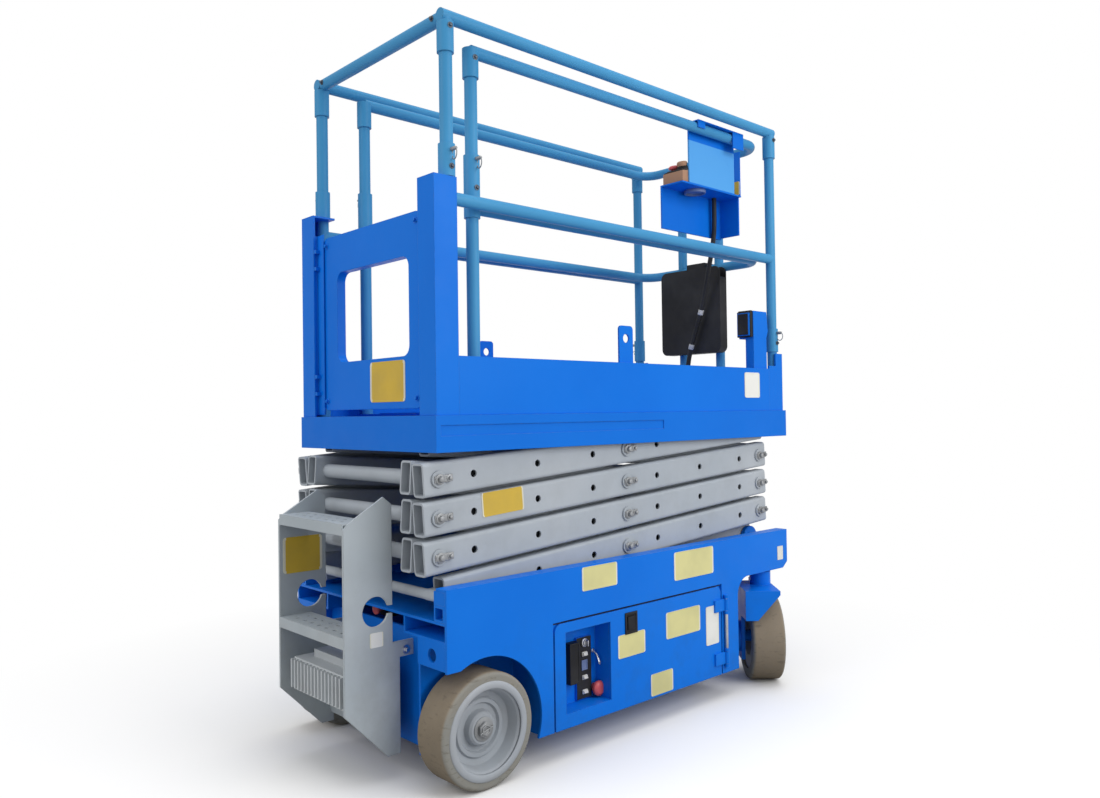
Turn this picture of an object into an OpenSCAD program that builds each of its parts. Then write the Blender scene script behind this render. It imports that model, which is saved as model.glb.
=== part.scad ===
// Slab scissor lift: wheeled chassis, four-level scissor stack, guarded platform with a sliding deck.
// Millimetres. X runs forward to the steered end, Y to the left, Z up from the floor.
// Stations along X are counted from the platform's rear end.

/* [Wheels] */
// Tyre diameter
wheel_d = 305; // [290:1:315]
// Tyre width
wheel_w = 114; // [100:1:120]
// Thickness of the tyre's rubber
tyre_h = 36.5; // [32:0.5:44]
// Station of the rear axle
rear_axle_x = 129; // [120:1:138]
// Distance of the front axle from the chassis' front end
front_axle_inset = 105; // [98:1:112]
// Half the distance between the middle planes of a pair of wheels
half_track = 350; // [345:1:355]
// Steering angle shown, to the left
steer_shown = 46; // [0:1:46]
// Radius of the spindles that carry the wheels
spindle_r = 20; // [15:1:24]
// Radius of the steering pivots
kingpin_r = 22; // [18:1:26]
// Length of the steering arms
steer_arm = 120; // [110:1:125]

/* [Chassis] */
// Chassis length
chassis_l = 1565; // [1500:1:1630]
// Chassis width
chassis_w = 800; // [796:1:812]
// Height of the chassis top above the floor
chassis_top_z = 538; // [532:1:542]
// Height of the chassis bottom above the floor
chassis_bottom_z = 85; // [75:1:92]
// Height of the deck that lies under the scissor arms
tray_deck_z = 452; // [446:1:454]
// Plate thickness of the chassis
plate_t = 8; // [6:1:10]
// Station of the rear edge of the side trays
tray_x = 374; // [368:1:385]
// Height of the top edge of the side trays above the floor
tray_top_z = 385; // [376:1:390]
// Depth of the side trays
tray_depth = 235; // [220:1:240]
// Radius of the tie-down holes
tie_down_r = 18; // [12:1:22]

/* [Scissor] */
// Height of the lowest pins above the floor
low_pin_z = 510; // [508:1:513]
// Rise of one level when the stack is down
level_rise = 102; // [101:1:104]
// Height of the arm tubes
tube_h = 90; // [84:1:92]
// Width of the arm tubes
tube_w = 50; // [44:1:51]
// Wall of the arm tubes
tube_wall = 6; // [4:0.5:7]
// Length of tube past the end pins
tube_overhang = 45; // [38:1:47]
// Length of tube past the pins beside the decks
low_overhang = 24; // [20:1:25]
// Half the distance between the outer faces of the outer tubes
arms_half_w = 340; // [337:1:342]
// Gap between an outer and an inner tube
arm_gap = 8; // [7:1:10]
// Radius of the scissor pins
pin_r = 16; // [13:1:17]
// Radial clearance of the pins in their holes
pin_play = 0.2; // [0.1:0.05:0.4]
// Radius of the holes along the outer arms
arm_hole_r = 10; // [8:1:12]
// Radius of the cross tubes between the inner arms
cross_r = 21; // [19:1:23]
// Radius of the sliding end rollers
roller_r = 14; // [12:1:15]
// Distance of the cylinder's head pin from the arm centre
head_pin_s = 471.5; // [465:0.5:475]
// Outer radius of the lift cylinder barrel
barrel_r = 45; // [40:1:48]
// Radius of the lift cylinder rod
rod_r = 26; // [22:1:28]

/* [Platform] */
// Length of the platform past the chassis' front end
platform_overhang = 65; // [50:1:80]
// Platform width
platform_w = 730; // [724:1:736]
// Height of the platform skirt's bottom above the floor
platform_z = 885; // [882:1:887]
// Height of the platform skirt
skirt_h = 89; // [87:1:93]
// Height of the toe boards above the skirt
toe_h = 165; // [150:1:175]
// Sheet thickness of the platform
sheet_t = 6; // [5:1:7]
// Height of the guard rails above the floor
rail_top_z = 2063; // [2055:1:2080]
// Guard rail tube diameter
rail_d = 36; // [32:1:38]
// Outer diameter of the sleeves and sockets on the posts
sleeve_d = 46; // [42:1:47]
// Height of the middle rails above the floor
mid_rail_z = 1560; // [1550:1:1570]
// Height of the rear corner plates above the floor
corner_top_z = 1612; // [1605:1:1625]
// Width of the rear corner plates
corner_w = 75; // [70:1:78]
// Length of the front corner plates
front_corner_l = 88; // [80:1:100]
// Station of the rear guard rail posts
rear_post_x = 66; // [62:1:70]
// Distance of the front guard rail posts from the platform's front end
front_post_inset = 40; // [38:1:44]

/* [Extension deck] */
// Station of the rear end of the sliding deck
extension_x = 168; // [160:1:175]
// Distance between the main rails and the sliding rails
rail_gap = 52; // [50:1:57]
// Height of the sliding deck's rails above the floor
extension_top_z = 2018; // [2010:1:2022]
// Radius of the bends in the sliding deck's rails
bend_r = 72; // [60:1:80]

/* [Ladder] */
// Reach of the ladder behind the platform's rear end
ladder_reach = 168; // [160:1:180]
// Ladder width
ladder_w = 370; // [360:1:380]
// Height of the ladder's top above the floor
ladder_top_z = 765; // [755:1:775]
// Thickness of the ladder plates
ladder_t = 8; // [6:1:10]

/* [Hidden] */
$fn = 48;

// Colours
blue = [0.02, 0.40, 0.84];
rail_blue = [0.15, 0.50, 0.82];
arm_grey = [0.64, 0.66, 0.69];
ladder_grey = [0.56, 0.59, 0.61];
tyre_grey = [0.60, 0.56, 0.50];
rim_grey = [0.66, 0.68, 0.70];
dark = [0.08, 0.08, 0.09];
steel = [0.75, 0.76, 0.78];

// Scissor geometry: inner arms rise to the rear, outer arms rise to the front
rear_pin_x = 22;
front_pin_inset = 90;
front_pin_x = chassis_l - front_pin_inset;
arm_run = front_pin_x - rear_pin_x;
arm_pins = norm([arm_run, level_rise]);
rest_angle = atan2(level_rise, arm_run);
lift_angle = 59.2;
slider_travel = arm_run - arm_pins * cos(rest_angle + lift_angle);
mid_pin_x = (rear_pin_x + front_pin_x) / 2;
function pin_z(level) = low_pin_z + level_rise * level;
function arm_mid_z(arm) = pin_z(arm - 0.5);
outer_y = arms_half_w - tube_w;
inner_y = outer_y - arm_gap - tube_w;

// Platform frame
platform_l = chassis_l + platform_overhang;
x_rear = -(platform_l - ladder_reach) / 2;
half_platform = platform_w / 2;
floor_z = platform_z + skirt_h;
floor_t = 8;
deck_z = floor_z + floor_t;
front_axle_x = chassis_l - front_axle_inset;
rim_d = wheel_d - 2 * tyre_h;
half_chassis = chassis_w / 2;
steer_play = 0.3;
running_gap = 0.3;

module placed() translate([x_rear, 0, 0]) children();

module both_sides() {
    children();
    mirror([0, 1, 0]) children();
}

// Box between two corners
module block(low, high) translate(low) cube(high - low);

// Plate in the XZ plane, from y towards the left by t
module side_plate(y, t) translate([0, y + t, 0]) rotate([90, 0, 0]) linear_extrude(t) children();

// Plate in the YZ plane, from x forward by t
module cross_plate(x, t) translate([x, 0, 0]) rotate([90, 0, 90]) linear_extrude(t) children();

// Round bars along Y, X and Z
module y_bar(x, z, r, y0, y1) translate([x, y0, z]) rotate([-90, 0, 0]) cylinder(r = r, h = y1 - y0);
module x_bar(x0, x1, r) translate([x0, 0, 0]) rotate([0, 90, 0]) cylinder(r = r, h = x1 - x0);
module z_bar(x, y, r, z0, z1) translate([x, y, z0]) cylinder(r = r, h = z1 - z0);

// Outline with rounded corners, drawn without facets
module round_rect(low, high, r) {
    translate([low[0] + r, low[1]]) square([high[0] - low[0] - 2 * r, high[1] - low[1]]);
    translate([low[0], low[1] + r]) square([high[0] - low[0], high[1] - low[1] - 2 * r]);
    for (x = [low[0] + r, high[0] - r], y = [low[1] + r, high[1] - r]) translate([x, y]) circle(r);
}

// Chassis

rear_arch_gap = 40;
rear_arch_z = 325;
front_arch_inset = 315;
front_arch_x = chassis_l - front_arch_inset;
front_arch_z = 398;
front_arch_r = 62;
nose_l = 30;
nose_h = 22;
flange_w = 45;
ladder_tab_x = 44;
bay_clear = 6;
tray_front_gap = 100;
tray_l = front_arch_x - tray_front_gap - tray_x;
well_y = 270;
web_y = half_chassis - tray_depth - 2 * plate_t;
track_gap = 6;
track_y = arms_half_w + track_gap;
track_wall = 6;
track_top = low_pin_z - roller_r - running_gap;
track_spare = 40;
track_end = rear_pin_x + slider_travel + track_spare;
slide_stop_t = 6;
deck_t = 7;
under_z = tray_deck_z - deck_t;
mouth_z = 405;
mouth_t = 7;
mouth_y = 205;
mouth_l = 354;

// Room over a steered wheel, round at its rear upper corner, with the sloped end of the nose
module front_arch_outline() {
    past = chassis_l + 1;
    translate([front_arch_x + front_arch_r, 0]) square([past - front_arch_x - front_arch_r, front_arch_z]);
    translate([front_arch_x, 0]) square([past - front_arch_x, front_arch_z - front_arch_r]);
    translate([front_arch_x + front_arch_r, front_arch_z - front_arch_r]) circle(front_arch_r);
    polygon([
        [chassis_l - nose_l, front_arch_z - 1], [past, front_arch_z - 1], [past, front_arch_z + nose_h]
    ]);
}

module chassis_side_outline() {
    difference() {
        translate([0, chassis_bottom_z]) square([chassis_l, chassis_top_z - chassis_bottom_z]);
        translate([-1, 0]) square([rear_axle_x + 1, rear_arch_z]);
        translate([rear_axle_x, wheel_d / 2]) circle(wheel_d / 2 + rear_arch_gap);
        front_arch_outline();
        translate([tray_x - bay_clear, 0]) square([tray_l + 2 * bay_clear, tray_top_z + bay_clear]);
    }
}

module chassis_side() {
    side_plate(-half_chassis, plate_t) chassis_side_outline();
    tray_hinge_pins();
    block([0, -half_chassis + plate_t, chassis_top_z - plate_t],
          [chassis_l, -half_chassis + flange_w, chassis_top_z]);
    difference() {
        block([0, -half_chassis + plate_t, tray_deck_z], [track_end, -track_y, track_top]);
        block([-1, -half_chassis + 2 * plate_t, tray_deck_z + track_wall],
              [track_end + 1, -track_y - track_wall, track_top - plate_t]);
    }
}

module chassis_side_right() color(blue) chassis_side();
module chassis_side_left() color(blue) mirror([0, 1, 0]) chassis_side();

module chassis_deck() {
    color(blue) {
        block([0, -half_chassis + plate_t, under_z], [chassis_l, half_chassis - plate_t, tray_deck_z]);
        both_sides() block([0, track_y, track_top],
                           [slide_stop_t, half_chassis - plate_t, chassis_top_z - plate_t]);
        rear_ends();
        steer_box();
    }
}

// Lugs that hold the fixed pins of the lowest arms, and the plate that closes the front end
module arm_lugs() {
    fixed_lug_t = 14;
    fixed_lug_r = 40;
    fixed_lug_y = inner_y + tube_w + 5;
    end_drop = 40;
    color(blue) {
        both_sides() difference() {
            union() {
                block([front_pin_x - fixed_lug_r, fixed_lug_y, tray_deck_z],
                      [front_pin_x + fixed_lug_r, fixed_lug_y + fixed_lug_t, low_pin_z]);
                y_bar(front_pin_x, low_pin_z, fixed_lug_r, fixed_lug_y, fixed_lug_y + fixed_lug_t);
            }
            y_bar(front_pin_x, low_pin_z, pin_r + pin_play, fixed_lug_y - 1, fixed_lug_y + fixed_lug_t + 1);
        }
        block([chassis_l - plate_t, -half_chassis + plate_t, tray_deck_z],
              [chassis_l, half_chassis - plate_t, chassis_top_z - end_drop]);
    }
}

// Rear end plates with the tie-down holes, under the open mouths at both sides of the deck
module rear_ends() {
    tie_down_y = 335;
    tie_down_z = 362;
    both_sides() {
        block([0, mouth_y, mouth_z - mouth_t], [mouth_l, half_chassis - plate_t, mouth_z]);
        block([0, mouth_y, mouth_z], [mouth_l, mouth_y + mouth_t, under_z]);
        difference() {
            block([0, well_y, rear_arch_z + 4], [plate_t, half_chassis - plate_t, mouth_z - mouth_t]);
            translate([-1, tie_down_y, tie_down_z]) rotate([0, 90, 0])
                cylinder(r = tie_down_r, h = plate_t + 2);
        }
    }
}

// Closed box over the steered wheels, bored for the steering pivots
module steer_box() {
    box_x = front_arch_x + front_arch_r;
    wall = 12;
    hollow_y = 240;
    difference() {
        block([box_x, -half_chassis + plate_t, front_arch_z + 2],
              [chassis_l - nose_l, half_chassis - plate_t, under_z]);
        block([box_x + wall, -hollow_y, front_arch_z + 2 + wall],
              [chassis_l - nose_l - wall, hollow_y, under_z - 1]);
        for (side = [-1, 1])
            z_bar(front_axle_x, side * half_track, kingpin_r + steer_play, front_arch_z, under_z + 20);
    }
}

module chassis_core() {
    bulk_x = tray_x - bay_clear - plate_t - 32;
    front_x = front_arch_x - plate_t;
    low_wall_z = 330;
    well_top = mouth_z - mouth_t;
    color(blue) {
        both_sides() {
            block([plate_t, well_y - plate_t, chassis_bottom_z], [bulk_x, well_y, well_top]);
            block([bulk_x + plate_t, web_y - plate_t, chassis_bottom_z], [front_x, web_y, under_z]);
        }
        difference() {
            block([bulk_x, -half_chassis + plate_t, chassis_bottom_z],
                  [bulk_x + plate_t, half_chassis - plate_t, under_z]);
            both_sides() block([bulk_x - 1, mouth_y - 1, well_top - 1],
                               [bulk_x + plate_t + 1, half_chassis, mouth_z + 1]);
            both_sides() block([bulk_x - 1, mouth_y - 1, mouth_z],
                               [bulk_x + plate_t + 1, mouth_y + mouth_t + 1, under_z + 1]);
        }
        block([front_x, -half_chassis + plate_t, chassis_bottom_z],
              [front_arch_x, half_chassis - plate_t, low_wall_z]);
        block([front_x, -web_y, low_wall_z], [front_arch_x, web_y, under_z]);
        block([bulk_x + plate_t, -web_y + plate_t, chassis_bottom_z],
              [front_x, web_y - plate_t, chassis_bottom_z + plate_t]);
        block([ladder_tab_x, -well_y + plate_t, chassis_bottom_z],
              [ladder_tab_x + plate_t, well_y - plate_t, well_top]);
    }
}

module rear_axle() {
    hub_r = 48;
    hub_end = half_track - wheel_w / 2 - 6;
    spindle_end = half_track + 30;
    color(blue) both_sides() y_bar(rear_axle_x, wheel_d / 2, hub_r, well_y, hub_end);
    color(steel) both_sides() y_bar(rear_axle_x, wheel_d / 2, spindle_r, hub_end, spindle_end);
}

// Entry ladder and the charger in its lower bay

ladder_top_drop = 62;
ladder_nose = 16;
ladder_shoulder = 47;
ladder_back = 22;
ladder_low_z = 205;
ladder_foot_z = 72;
ladder_foot = 39;
tab_low_z = 330;
tab_top_z = 372;
keyhole_x = -74;
keyhole_z = 463;
keyhole_r = 40;
keyhole_slot = 22;

module ladder_outline() {
    difference() {
        polygon([
            [-ladder_shoulder, ladder_top_z], [-ladder_reach + ladder_nose, ladder_top_z - ladder_top_drop],
            [-ladder_reach, ladder_top_z - ladder_top_drop - ladder_nose], [-ladder_reach, ladder_low_z],
            [-ladder_foot, ladder_foot_z], [0, ladder_foot_z], [0, tab_low_z], [ladder_tab_x, tab_low_z],
            [ladder_tab_x, tab_top_z], [-ladder_back, tab_top_z], [-ladder_back, ladder_top_z - 20]
        ]);
        translate([keyhole_x, keyhole_z]) circle(keyhole_r);
        translate([keyhole_x, keyhole_z - keyhole_slot / 2]) square([60, keyhole_slot]);
    }
}

step_d = 95;
step_h = 30;
step_t = 4;
step_zs = [ladder_top_z - 92, 378];
grip_r = 6;
half_ladder = ladder_w / 2 - ladder_t;

// Folded step with a turned-down lip and rows of grip holes
module ladder_step(z) {
    pitch = 42;
    difference() {
        block([-ladder_reach, -half_ladder, z], [-ladder_reach + step_d, half_ladder, z + step_h]);
        block([-ladder_reach + step_t, -half_ladder - 1, z - 1],
              [-ladder_reach + step_d - step_t, half_ladder + 1, z + step_h - step_t]);
        for (x = [30, 65], k = [-3 : 3])
            z_bar(-ladder_reach + x, k * pitch, grip_r, z + step_h - step_t - 1, z + step_h + 1);
    }
}

module entry_ladder() {
    back_low_z = 100;
    color(ladder_grey) {
        both_sides() side_plate(half_ladder, ladder_t) ladder_outline();
        for (z = step_zs) ladder_step(z);
        block([-10, -half_ladder, back_low_z], [0, half_ladder, tab_low_z]);
    }
}

module battery_charger() {
    charger_low = [-ladder_reach + 20, -146, 208];
    charger_high = [-10, 131, 300];
    fins = 15;
    fin_t = 6;
    fin_depth = 12;
    pitch = (charger_high[1] - charger_low[1] - fin_t) / (fins - 1);
    head = 40;
    color(ladder_grey) {
        block(charger_low, charger_high);
        for (k = [0 : fins - 1]) {
            y = charger_low[1] + k * pitch;
            block([charger_low[0] - fin_depth, y, charger_low[2] + 8],
                  [charger_low[0], y + fin_t, charger_high[2] - 4]);
        }
        block([charger_low[0] + head, -120, charger_high[2]], [charger_high[0], 90, charger_high[2] + 22]);
    }
}

// Side trays

hinge_gap = 20;
hinge_x = tray_x + tray_l + hinge_gap;
hinge_r = 8;
hinge_y = half_chassis + hinge_r;
hinge_pin_r = 5;
hinge_zs = [120, 300];
hinge_h = 40;
hinge_ear = 11;
leaf_t = 6;
leaf_l = 60;
tray_corner_r = 24;
recess_x = tray_x + 42;
recess_l = 186;
recess_low_z = 125;
recess_top_z = 357;
recess_depth = 66;

// Door with round upper corners and a floor behind it; what is drawn as children is cut from the door
module tray_shell() {
    floor_in = 50;
    side_plate(-half_chassis, plate_t) difference() {
        union() {
            translate([tray_x, chassis_bottom_z])
                square([tray_l, tray_top_z - tray_corner_r - chassis_bottom_z]);
            round_rect([tray_x, chassis_bottom_z + 2 * tray_corner_r],
                       [tray_x + tray_l, tray_top_z], tray_corner_r);
        }
        children();
    }
    block([tray_x + floor_in, -half_chassis + plate_t, chassis_bottom_z],
          [tray_x + tray_l - floor_in, -half_chassis + tray_depth, chassis_bottom_z + plate_t]);
    for (z = hinge_zs) difference() {
        union() {
            z_bar(hinge_x, -hinge_y, hinge_r, z, z + hinge_h);
            block([hinge_x - leaf_l, -half_chassis - leaf_t - 1, z],
                  [hinge_x, -half_chassis - 1, z + hinge_h]);
            block([hinge_x - leaf_l, -half_chassis - leaf_t - 1, z],
                  [hinge_x - hinge_gap - 4, -half_chassis + 1, z + hinge_h]);
        }
        z_bar(hinge_x, -hinge_y, hinge_pin_r + pin_play, z - 1, z + hinge_h + 1);
    }
}

// Hinge pins of a tray, held by ears on the chassis side
module tray_hinge_pins() {
    for (z = hinge_zs) {
        z_bar(hinge_x, -hinge_y, hinge_pin_r, z - hinge_ear - 1, z + hinge_h + hinge_ear + 1);
        for (ear_z = [z - hinge_ear - 1, z + hinge_h + 1]) {
            z_bar(hinge_x, -hinge_y, hinge_r, ear_z, ear_z + hinge_ear);
            block([hinge_x - 3, -hinge_y, ear_z], [hinge_x + hinge_r, -half_chassis + 1, ear_z + hinge_ear]);
        }
    }
}

module control_tray() {
    color(blue) tray_shell()
        translate([recess_x, recess_low_z]) square([recess_l, recess_top_z - recess_low_z]);
}

module power_unit() {
    unit_gap = 30;
    unit_end = 100;
    unit_top_z = 340;
    color(dark) block([recess_x + recess_l + unit_gap, -half_chassis + 25, chassis_bottom_z + plate_t],
                      [tray_x + tray_l - unit_end, -half_chassis + tray_depth - 10, unit_top_z]);
}

// Recess behind the door's opening, with the switch strip and the meter on its back wall
module control_panel() {
    wall = 6;
    back_y = -half_chassis + recess_depth;
    strip_x = recess_x + 98;
    meter_x = recess_x + 58;
    color(blue) {
        difference() {
            block([recess_x - wall, -half_chassis + plate_t, recess_low_z - wall],
                  [recess_x + recess_l + wall, back_y + wall, recess_top_z + wall]);
            block([recess_x, -half_chassis + plate_t - 1, recess_low_z],
                  [recess_x + recess_l, back_y, recess_top_z]);
        }
        block([strip_x, back_y - 8, recess_low_z + 4], [strip_x + 62, back_y, recess_top_z - 44]);
        block([meter_x, back_y - 24, recess_low_z + 64], [meter_x + 34, back_y, recess_top_z - 54]);
    }
}

module battery_tray() {
    color(blue) mirror([0, 1, 0]) tray_shell();
}

module battery_pack() {
    batteries = 4;
    battery_gap = 4;
    pack_in = 66;
    pack_top_z = 360;
    battery_l = (tray_l - 2 * pack_in + battery_gap) / batteries - battery_gap;
    color(dark) for (k = [0 : batteries - 1]) {
        x = tray_x + pack_in + k * (battery_l + battery_gap);
        block([x, half_chassis - tray_depth + 20, chassis_bottom_z + plate_t],
              [x + battery_l, half_chassis - 30, pack_top_z]);
    }
}

// Scissor arms, drawn level about their own middle pin

half_arm = arm_pins / 2;
arm_end = half_arm + tube_overhang;
slider_inset = 18;
slider_eye_r = 15;
pin_head_r = 22;
pin_head_t = 5;
pin_reach = arms_half_w + 1 + pin_head_t;
hole_steps = [0.206, 0.518, 0.838];

// Box tube with rounded corners from one s to another along the arm, with the cuts given as children
module arm_tube(y0, s0, s1) {
    bend_in_r = 5;
    difference() {
        cross_plate(s0, s1 - s0)
            round_rect([y0, -tube_h / 2], [y0 + tube_w, tube_h / 2], bend_in_r + tube_wall);
        cross_plate(s0 - 1, s1 - s0 + 2)
            round_rect([y0 + tube_wall, -tube_h / 2 + tube_wall],
                       [y0 + tube_w - tube_wall, tube_h / 2 - tube_wall], bend_in_r);
        children();
    }
}

// Eye on the end of a sliding arm
module slider_eye(y0) {
    y_bar(-half_arm, 0, slider_eye_r, y0, y0 + tube_w);
    block([-half_arm, y0, -slider_eye_r], [-half_arm + slider_inset + 2, y0 + tube_w, slider_eye_r]);
}

// Pin with a round head outside the outer arm
module headed_pin(s) {
    y_bar(s, 0, pin_r, inner_y, pin_reach);
    y_bar(s, 0, pin_head_r, arms_half_w + 1, pin_reach);
}

module outer_arm(arm) {
    slides = arm == 1;
    front_end = arm == 4 ? half_arm + low_overhang : arm_end;
    stub = 26;
    translate([mid_pin_x, 0, arm_mid_z(arm)]) rotate([0, -rest_angle, 0]) {
        both_sides() {
            arm_tube(outer_y, slides ? -half_arm + slider_inset : -arm_end, front_end) {
                for (s = slides ? [0, 1] : [-1, 0, 1])
                    y_bar(s * half_arm, 0, pin_r + pin_play, outer_y - 1, arms_half_w + 1);
                for (part = hole_steps, end = [-1, 1])
                    y_bar(end * part * half_arm, 0, arm_hole_r, outer_y + tube_w / 2, arms_half_w + 1);
            }
            if (slides) {
                slider_eye(outer_y);
                y_bar(-half_arm, 0, roller_r, arms_half_w, half_chassis - plate_t - 4);
            }
            if (arm == 4) {
                y_bar(half_arm, 0, pin_r + pin_play, outer_y, arms_half_w);
                y_bar(half_arm, 0, pin_r, outer_y - stub, outer_y);
            }
        }
        if (slides) y_bar(-half_arm, 0, roller_r, -outer_y, outer_y);
    }
}

module inner_arm(arm) {
    slides = arm == 4;
    front_end = arm == 1 ? half_arm + low_overhang : arm_end;
    stub = 22;
    translate([mid_pin_x, 0, arm_mid_z(arm)]) rotate([0, rest_angle, 0]) {
        both_sides() {
            arm_tube(inner_y, slides ? -half_arm + slider_inset : -arm_end, front_end) { }
            headed_pin(0);
            if (arm == 1) y_bar(half_arm, 0, pin_r, inner_y, inner_y + tube_w + stub);
            else headed_pin(half_arm);
            if (slides) slider_eye(inner_y);
            else headed_pin(-half_arm);
        }
        y_bar(half_arm, 0, cross_r, -inner_y, inner_y);
        y_bar(-half_arm, 0, slides ? roller_r : cross_r, -inner_y, inner_y);
        if (arm == 3) rod_seat();
    }
}

// Cross tube and lugs beside the head of the lift cylinder
lug_half = 36;
lug_t = 10;
lug_r = 22;
seat_x = 185;
seat_r = 16;
rod_eye_r = 26;
module rod_seat() {
    translate([head_pin_s, 0, 0]) {
        y_bar(seat_x, 0, seat_r, -inner_y - tube_wall, inner_y + tube_wall);
        both_sides() side_plate(lug_half, lug_t) {
            circle(lug_r);
            translate([seat_x, 0]) circle(lug_r);
            translate([0, -lug_r]) square([seat_x, 2 * lug_r]);
        }
    }
}

module inner_arm_1() color(arm_grey) inner_arm(1);
module inner_arm_2() color(arm_grey) inner_arm(2);
module inner_arm_3() color(arm_grey) inner_arm(3);
module inner_arm_4() color(arm_grey) inner_arm(4);
module outer_arm_1() color(arm_grey) outer_arm(1);
module outer_arm_2() color(arm_grey) outer_arm(2);
module outer_arm_3() color(arm_grey) outer_arm(3);
module outer_arm_4() color(arm_grey) outer_arm(4);

// Lift cylinder, from the lowest inner arms to the third ones

foot_x = rear_pin_x;
foot_z = pin_z(1);
head_x = mid_pin_x + head_pin_s * cos(rest_angle);
head_z = arm_mid_z(3) - head_pin_s * sin(rest_angle);
cylinder_tilt = atan2(head_z - foot_z, head_x - foot_x);
cylinder_l = norm([head_x - foot_x, head_z - foot_z]);
rod_shown = 110;
barrel_l = cylinder_l - rod_shown;
foot_r = 34;
foot_half = 30;
rod_eye_half = 28;

// Draws along X from the foot pin towards the head pin
module along_cylinder() translate([foot_x, 0, foot_z]) rotate([0, -cylinder_tilt, 0]) children();

module cylinder_barrel() {
    neck = 26;
    base = 70;
    color(steel) along_cylinder() difference() {
        union() {
            x_bar(foot_half, barrel_l, barrel_r);
            y_bar(0, 0, foot_r, -foot_half, foot_half);
            block([0, -neck, -neck], [foot_half + 10, neck, neck]);
        }
        x_bar(base, barrel_l + 1, rod_r + running_gap);
        y_bar(0, 0, cross_r + pin_play, -foot_half - 1, foot_half + 1);
    }
}

module cylinder_rod() {
    rod_start = 90;
    color(steel) along_cylinder() {
        x_bar(rod_start, cylinder_l - 20, rod_r);
        y_bar(cylinder_l, 0, rod_eye_r, -rod_eye_half, rod_eye_half);
    }
}

// Platform

upper_track_top = pin_z(4) + roller_r + running_gap;
upper_track_low = pin_z(4) - roller_r - running_gap;

module platform_floor() {
    track_out = inner_y - 5;
    track_in = track_out - 40;
    lug_y = outer_y - 24;
    hang_half = 35;
    hang_drop = 30;
    hang_t = 14;
    groove_ends = [16, 907];
    groove_zs = [floor_z - 46, floor_z - 18];
    groove_depth = 3;
    color(blue) {
        block([0, -half_platform, floor_z], [platform_l, half_platform, deck_z]);
        both_sides() {
            difference() {
                block([0, half_platform - sheet_t, platform_z], [platform_l, half_platform, floor_z]);
                block([groove_ends[0], half_platform - groove_depth, groove_zs[0]],
                      [groove_ends[1], half_platform + 1, groove_zs[1]]);
            }
            block([sheet_t, track_in, upper_track_top], [track_end, track_out, floor_z]);
            block([sheet_t, track_in, upper_track_low - sheet_t], [track_end, track_out, upper_track_low]);
            block([track_end - sheet_t, track_in, upper_track_low], [track_end, track_out, upper_track_top]);
            difference() {
                block([front_pin_x - hang_half, lug_y, pin_z(4) - hang_drop],
                      [front_pin_x + hang_half, lug_y + hang_t, floor_z]);
                y_bar(front_pin_x, pin_z(4), pin_r + pin_play, lug_y - 1, lug_y + hang_t + 1);
            }
        }
        for (x = [0, platform_l - sheet_t])
            block([x, -half_platform + sheet_t, platform_z], [x + sheet_t, half_platform - sheet_t, floor_z]);
    }
}

toe_inset = 5;
deck_gap = 6;
toe_y = half_platform - toe_inset;
rail_y = toe_y - sheet_t - rail_d / 2 - 1;
extension_half = rail_y - rail_gap;
ext_half = extension_half + 23;
corner_l = 80;
front_corner_x = platform_l - 12 - front_corner_l;
front_post_x = platform_l - front_post_inset;
gate_x = 40;
gate_hinge_y = 272;
gate_t = 28;
gate_hinge_zs = [1060, 1450];
gate_knuckle_h = 40;
gate_knuckle_r = 11;
gate_ear = 11;
gate_pin_r = 6;
gate_top_z = 1535;
gate_window_low = 1146;
gate_window_top = 1420;
anchor_x = 742;
anchor_half = 32;
anchor_top_z = 1256;
anchor_r = 14;

// Boards along both sides, each with an anchor plate for a safety line
module toe_boards() {
    color(blue) both_sides() {
        block([corner_l, toe_y - sheet_t, deck_z], [front_corner_x, toe_y, floor_z + toe_h]);
        side_plate(toe_y - 2 * sheet_t, sheet_t) difference() {
            round_rect([anchor_x - anchor_half, floor_z + toe_h - 60],
                       [anchor_x + anchor_half, anchor_top_z], 12);
            translate([anchor_x, anchor_top_z - 40]) circle(anchor_r);
        }
    }
}

module rear_corner_plates() {
    color(blue) {
        both_sides() difference() {
            block([toe_inset, toe_y - corner_w, deck_z], [corner_l, toe_y, corner_top_z]);
            block([toe_inset + sheet_t, toe_y - corner_w - 1, deck_z - 1],
                  [corner_l + 1, toe_y - sheet_t, corner_top_z - sheet_t]);
            z_bar(rear_post_x, rail_y, rail_d / 2 + 0.5, corner_top_z - 20, corner_top_z + 1);
        }
        gate_hinge_pins();
    }
}

// Pins that carry the gate, on ears of the left corner plate
module gate_hinge_pins() {
    for (z = gate_hinge_zs) {
        z_bar(gate_x, gate_hinge_y, gate_pin_r, z - gate_ear - 1, z + gate_knuckle_h + gate_ear + 1);
        for (ear_z = [z - gate_ear - 1, z + gate_knuckle_h + 1]) {
            z_bar(gate_x, gate_hinge_y, gate_knuckle_r, ear_z, ear_z + gate_ear);
            block([toe_inset + 1, gate_hinge_y, ear_z], [gate_x + 8, toe_y - corner_w + 5, ear_z + gate_ear]);
        }
    }
}

// Low plates at the front corners, with a taller strip that holds the post
module front_corner_plates() {
    low_z = 1150;
    strip_z = 1197;
    strip_l = 44;
    depth = toe_y - ext_half - deck_gap;
    strip_x = front_corner_x + front_corner_l - strip_l;
    end_x = front_corner_x + front_corner_l;
    color(blue) both_sides() difference() {
        union() {
            block([front_corner_x, toe_y - depth, deck_z], [end_x, toe_y, low_z]);
            block([strip_x, toe_y - depth, low_z], [end_x, toe_y, strip_z]);
        }
        block([front_corner_x - 1, toe_y - depth - 1, deck_z - 1],
              [end_x - sheet_t, toe_y - sheet_t, strip_z + 1]);
    }
}

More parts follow.
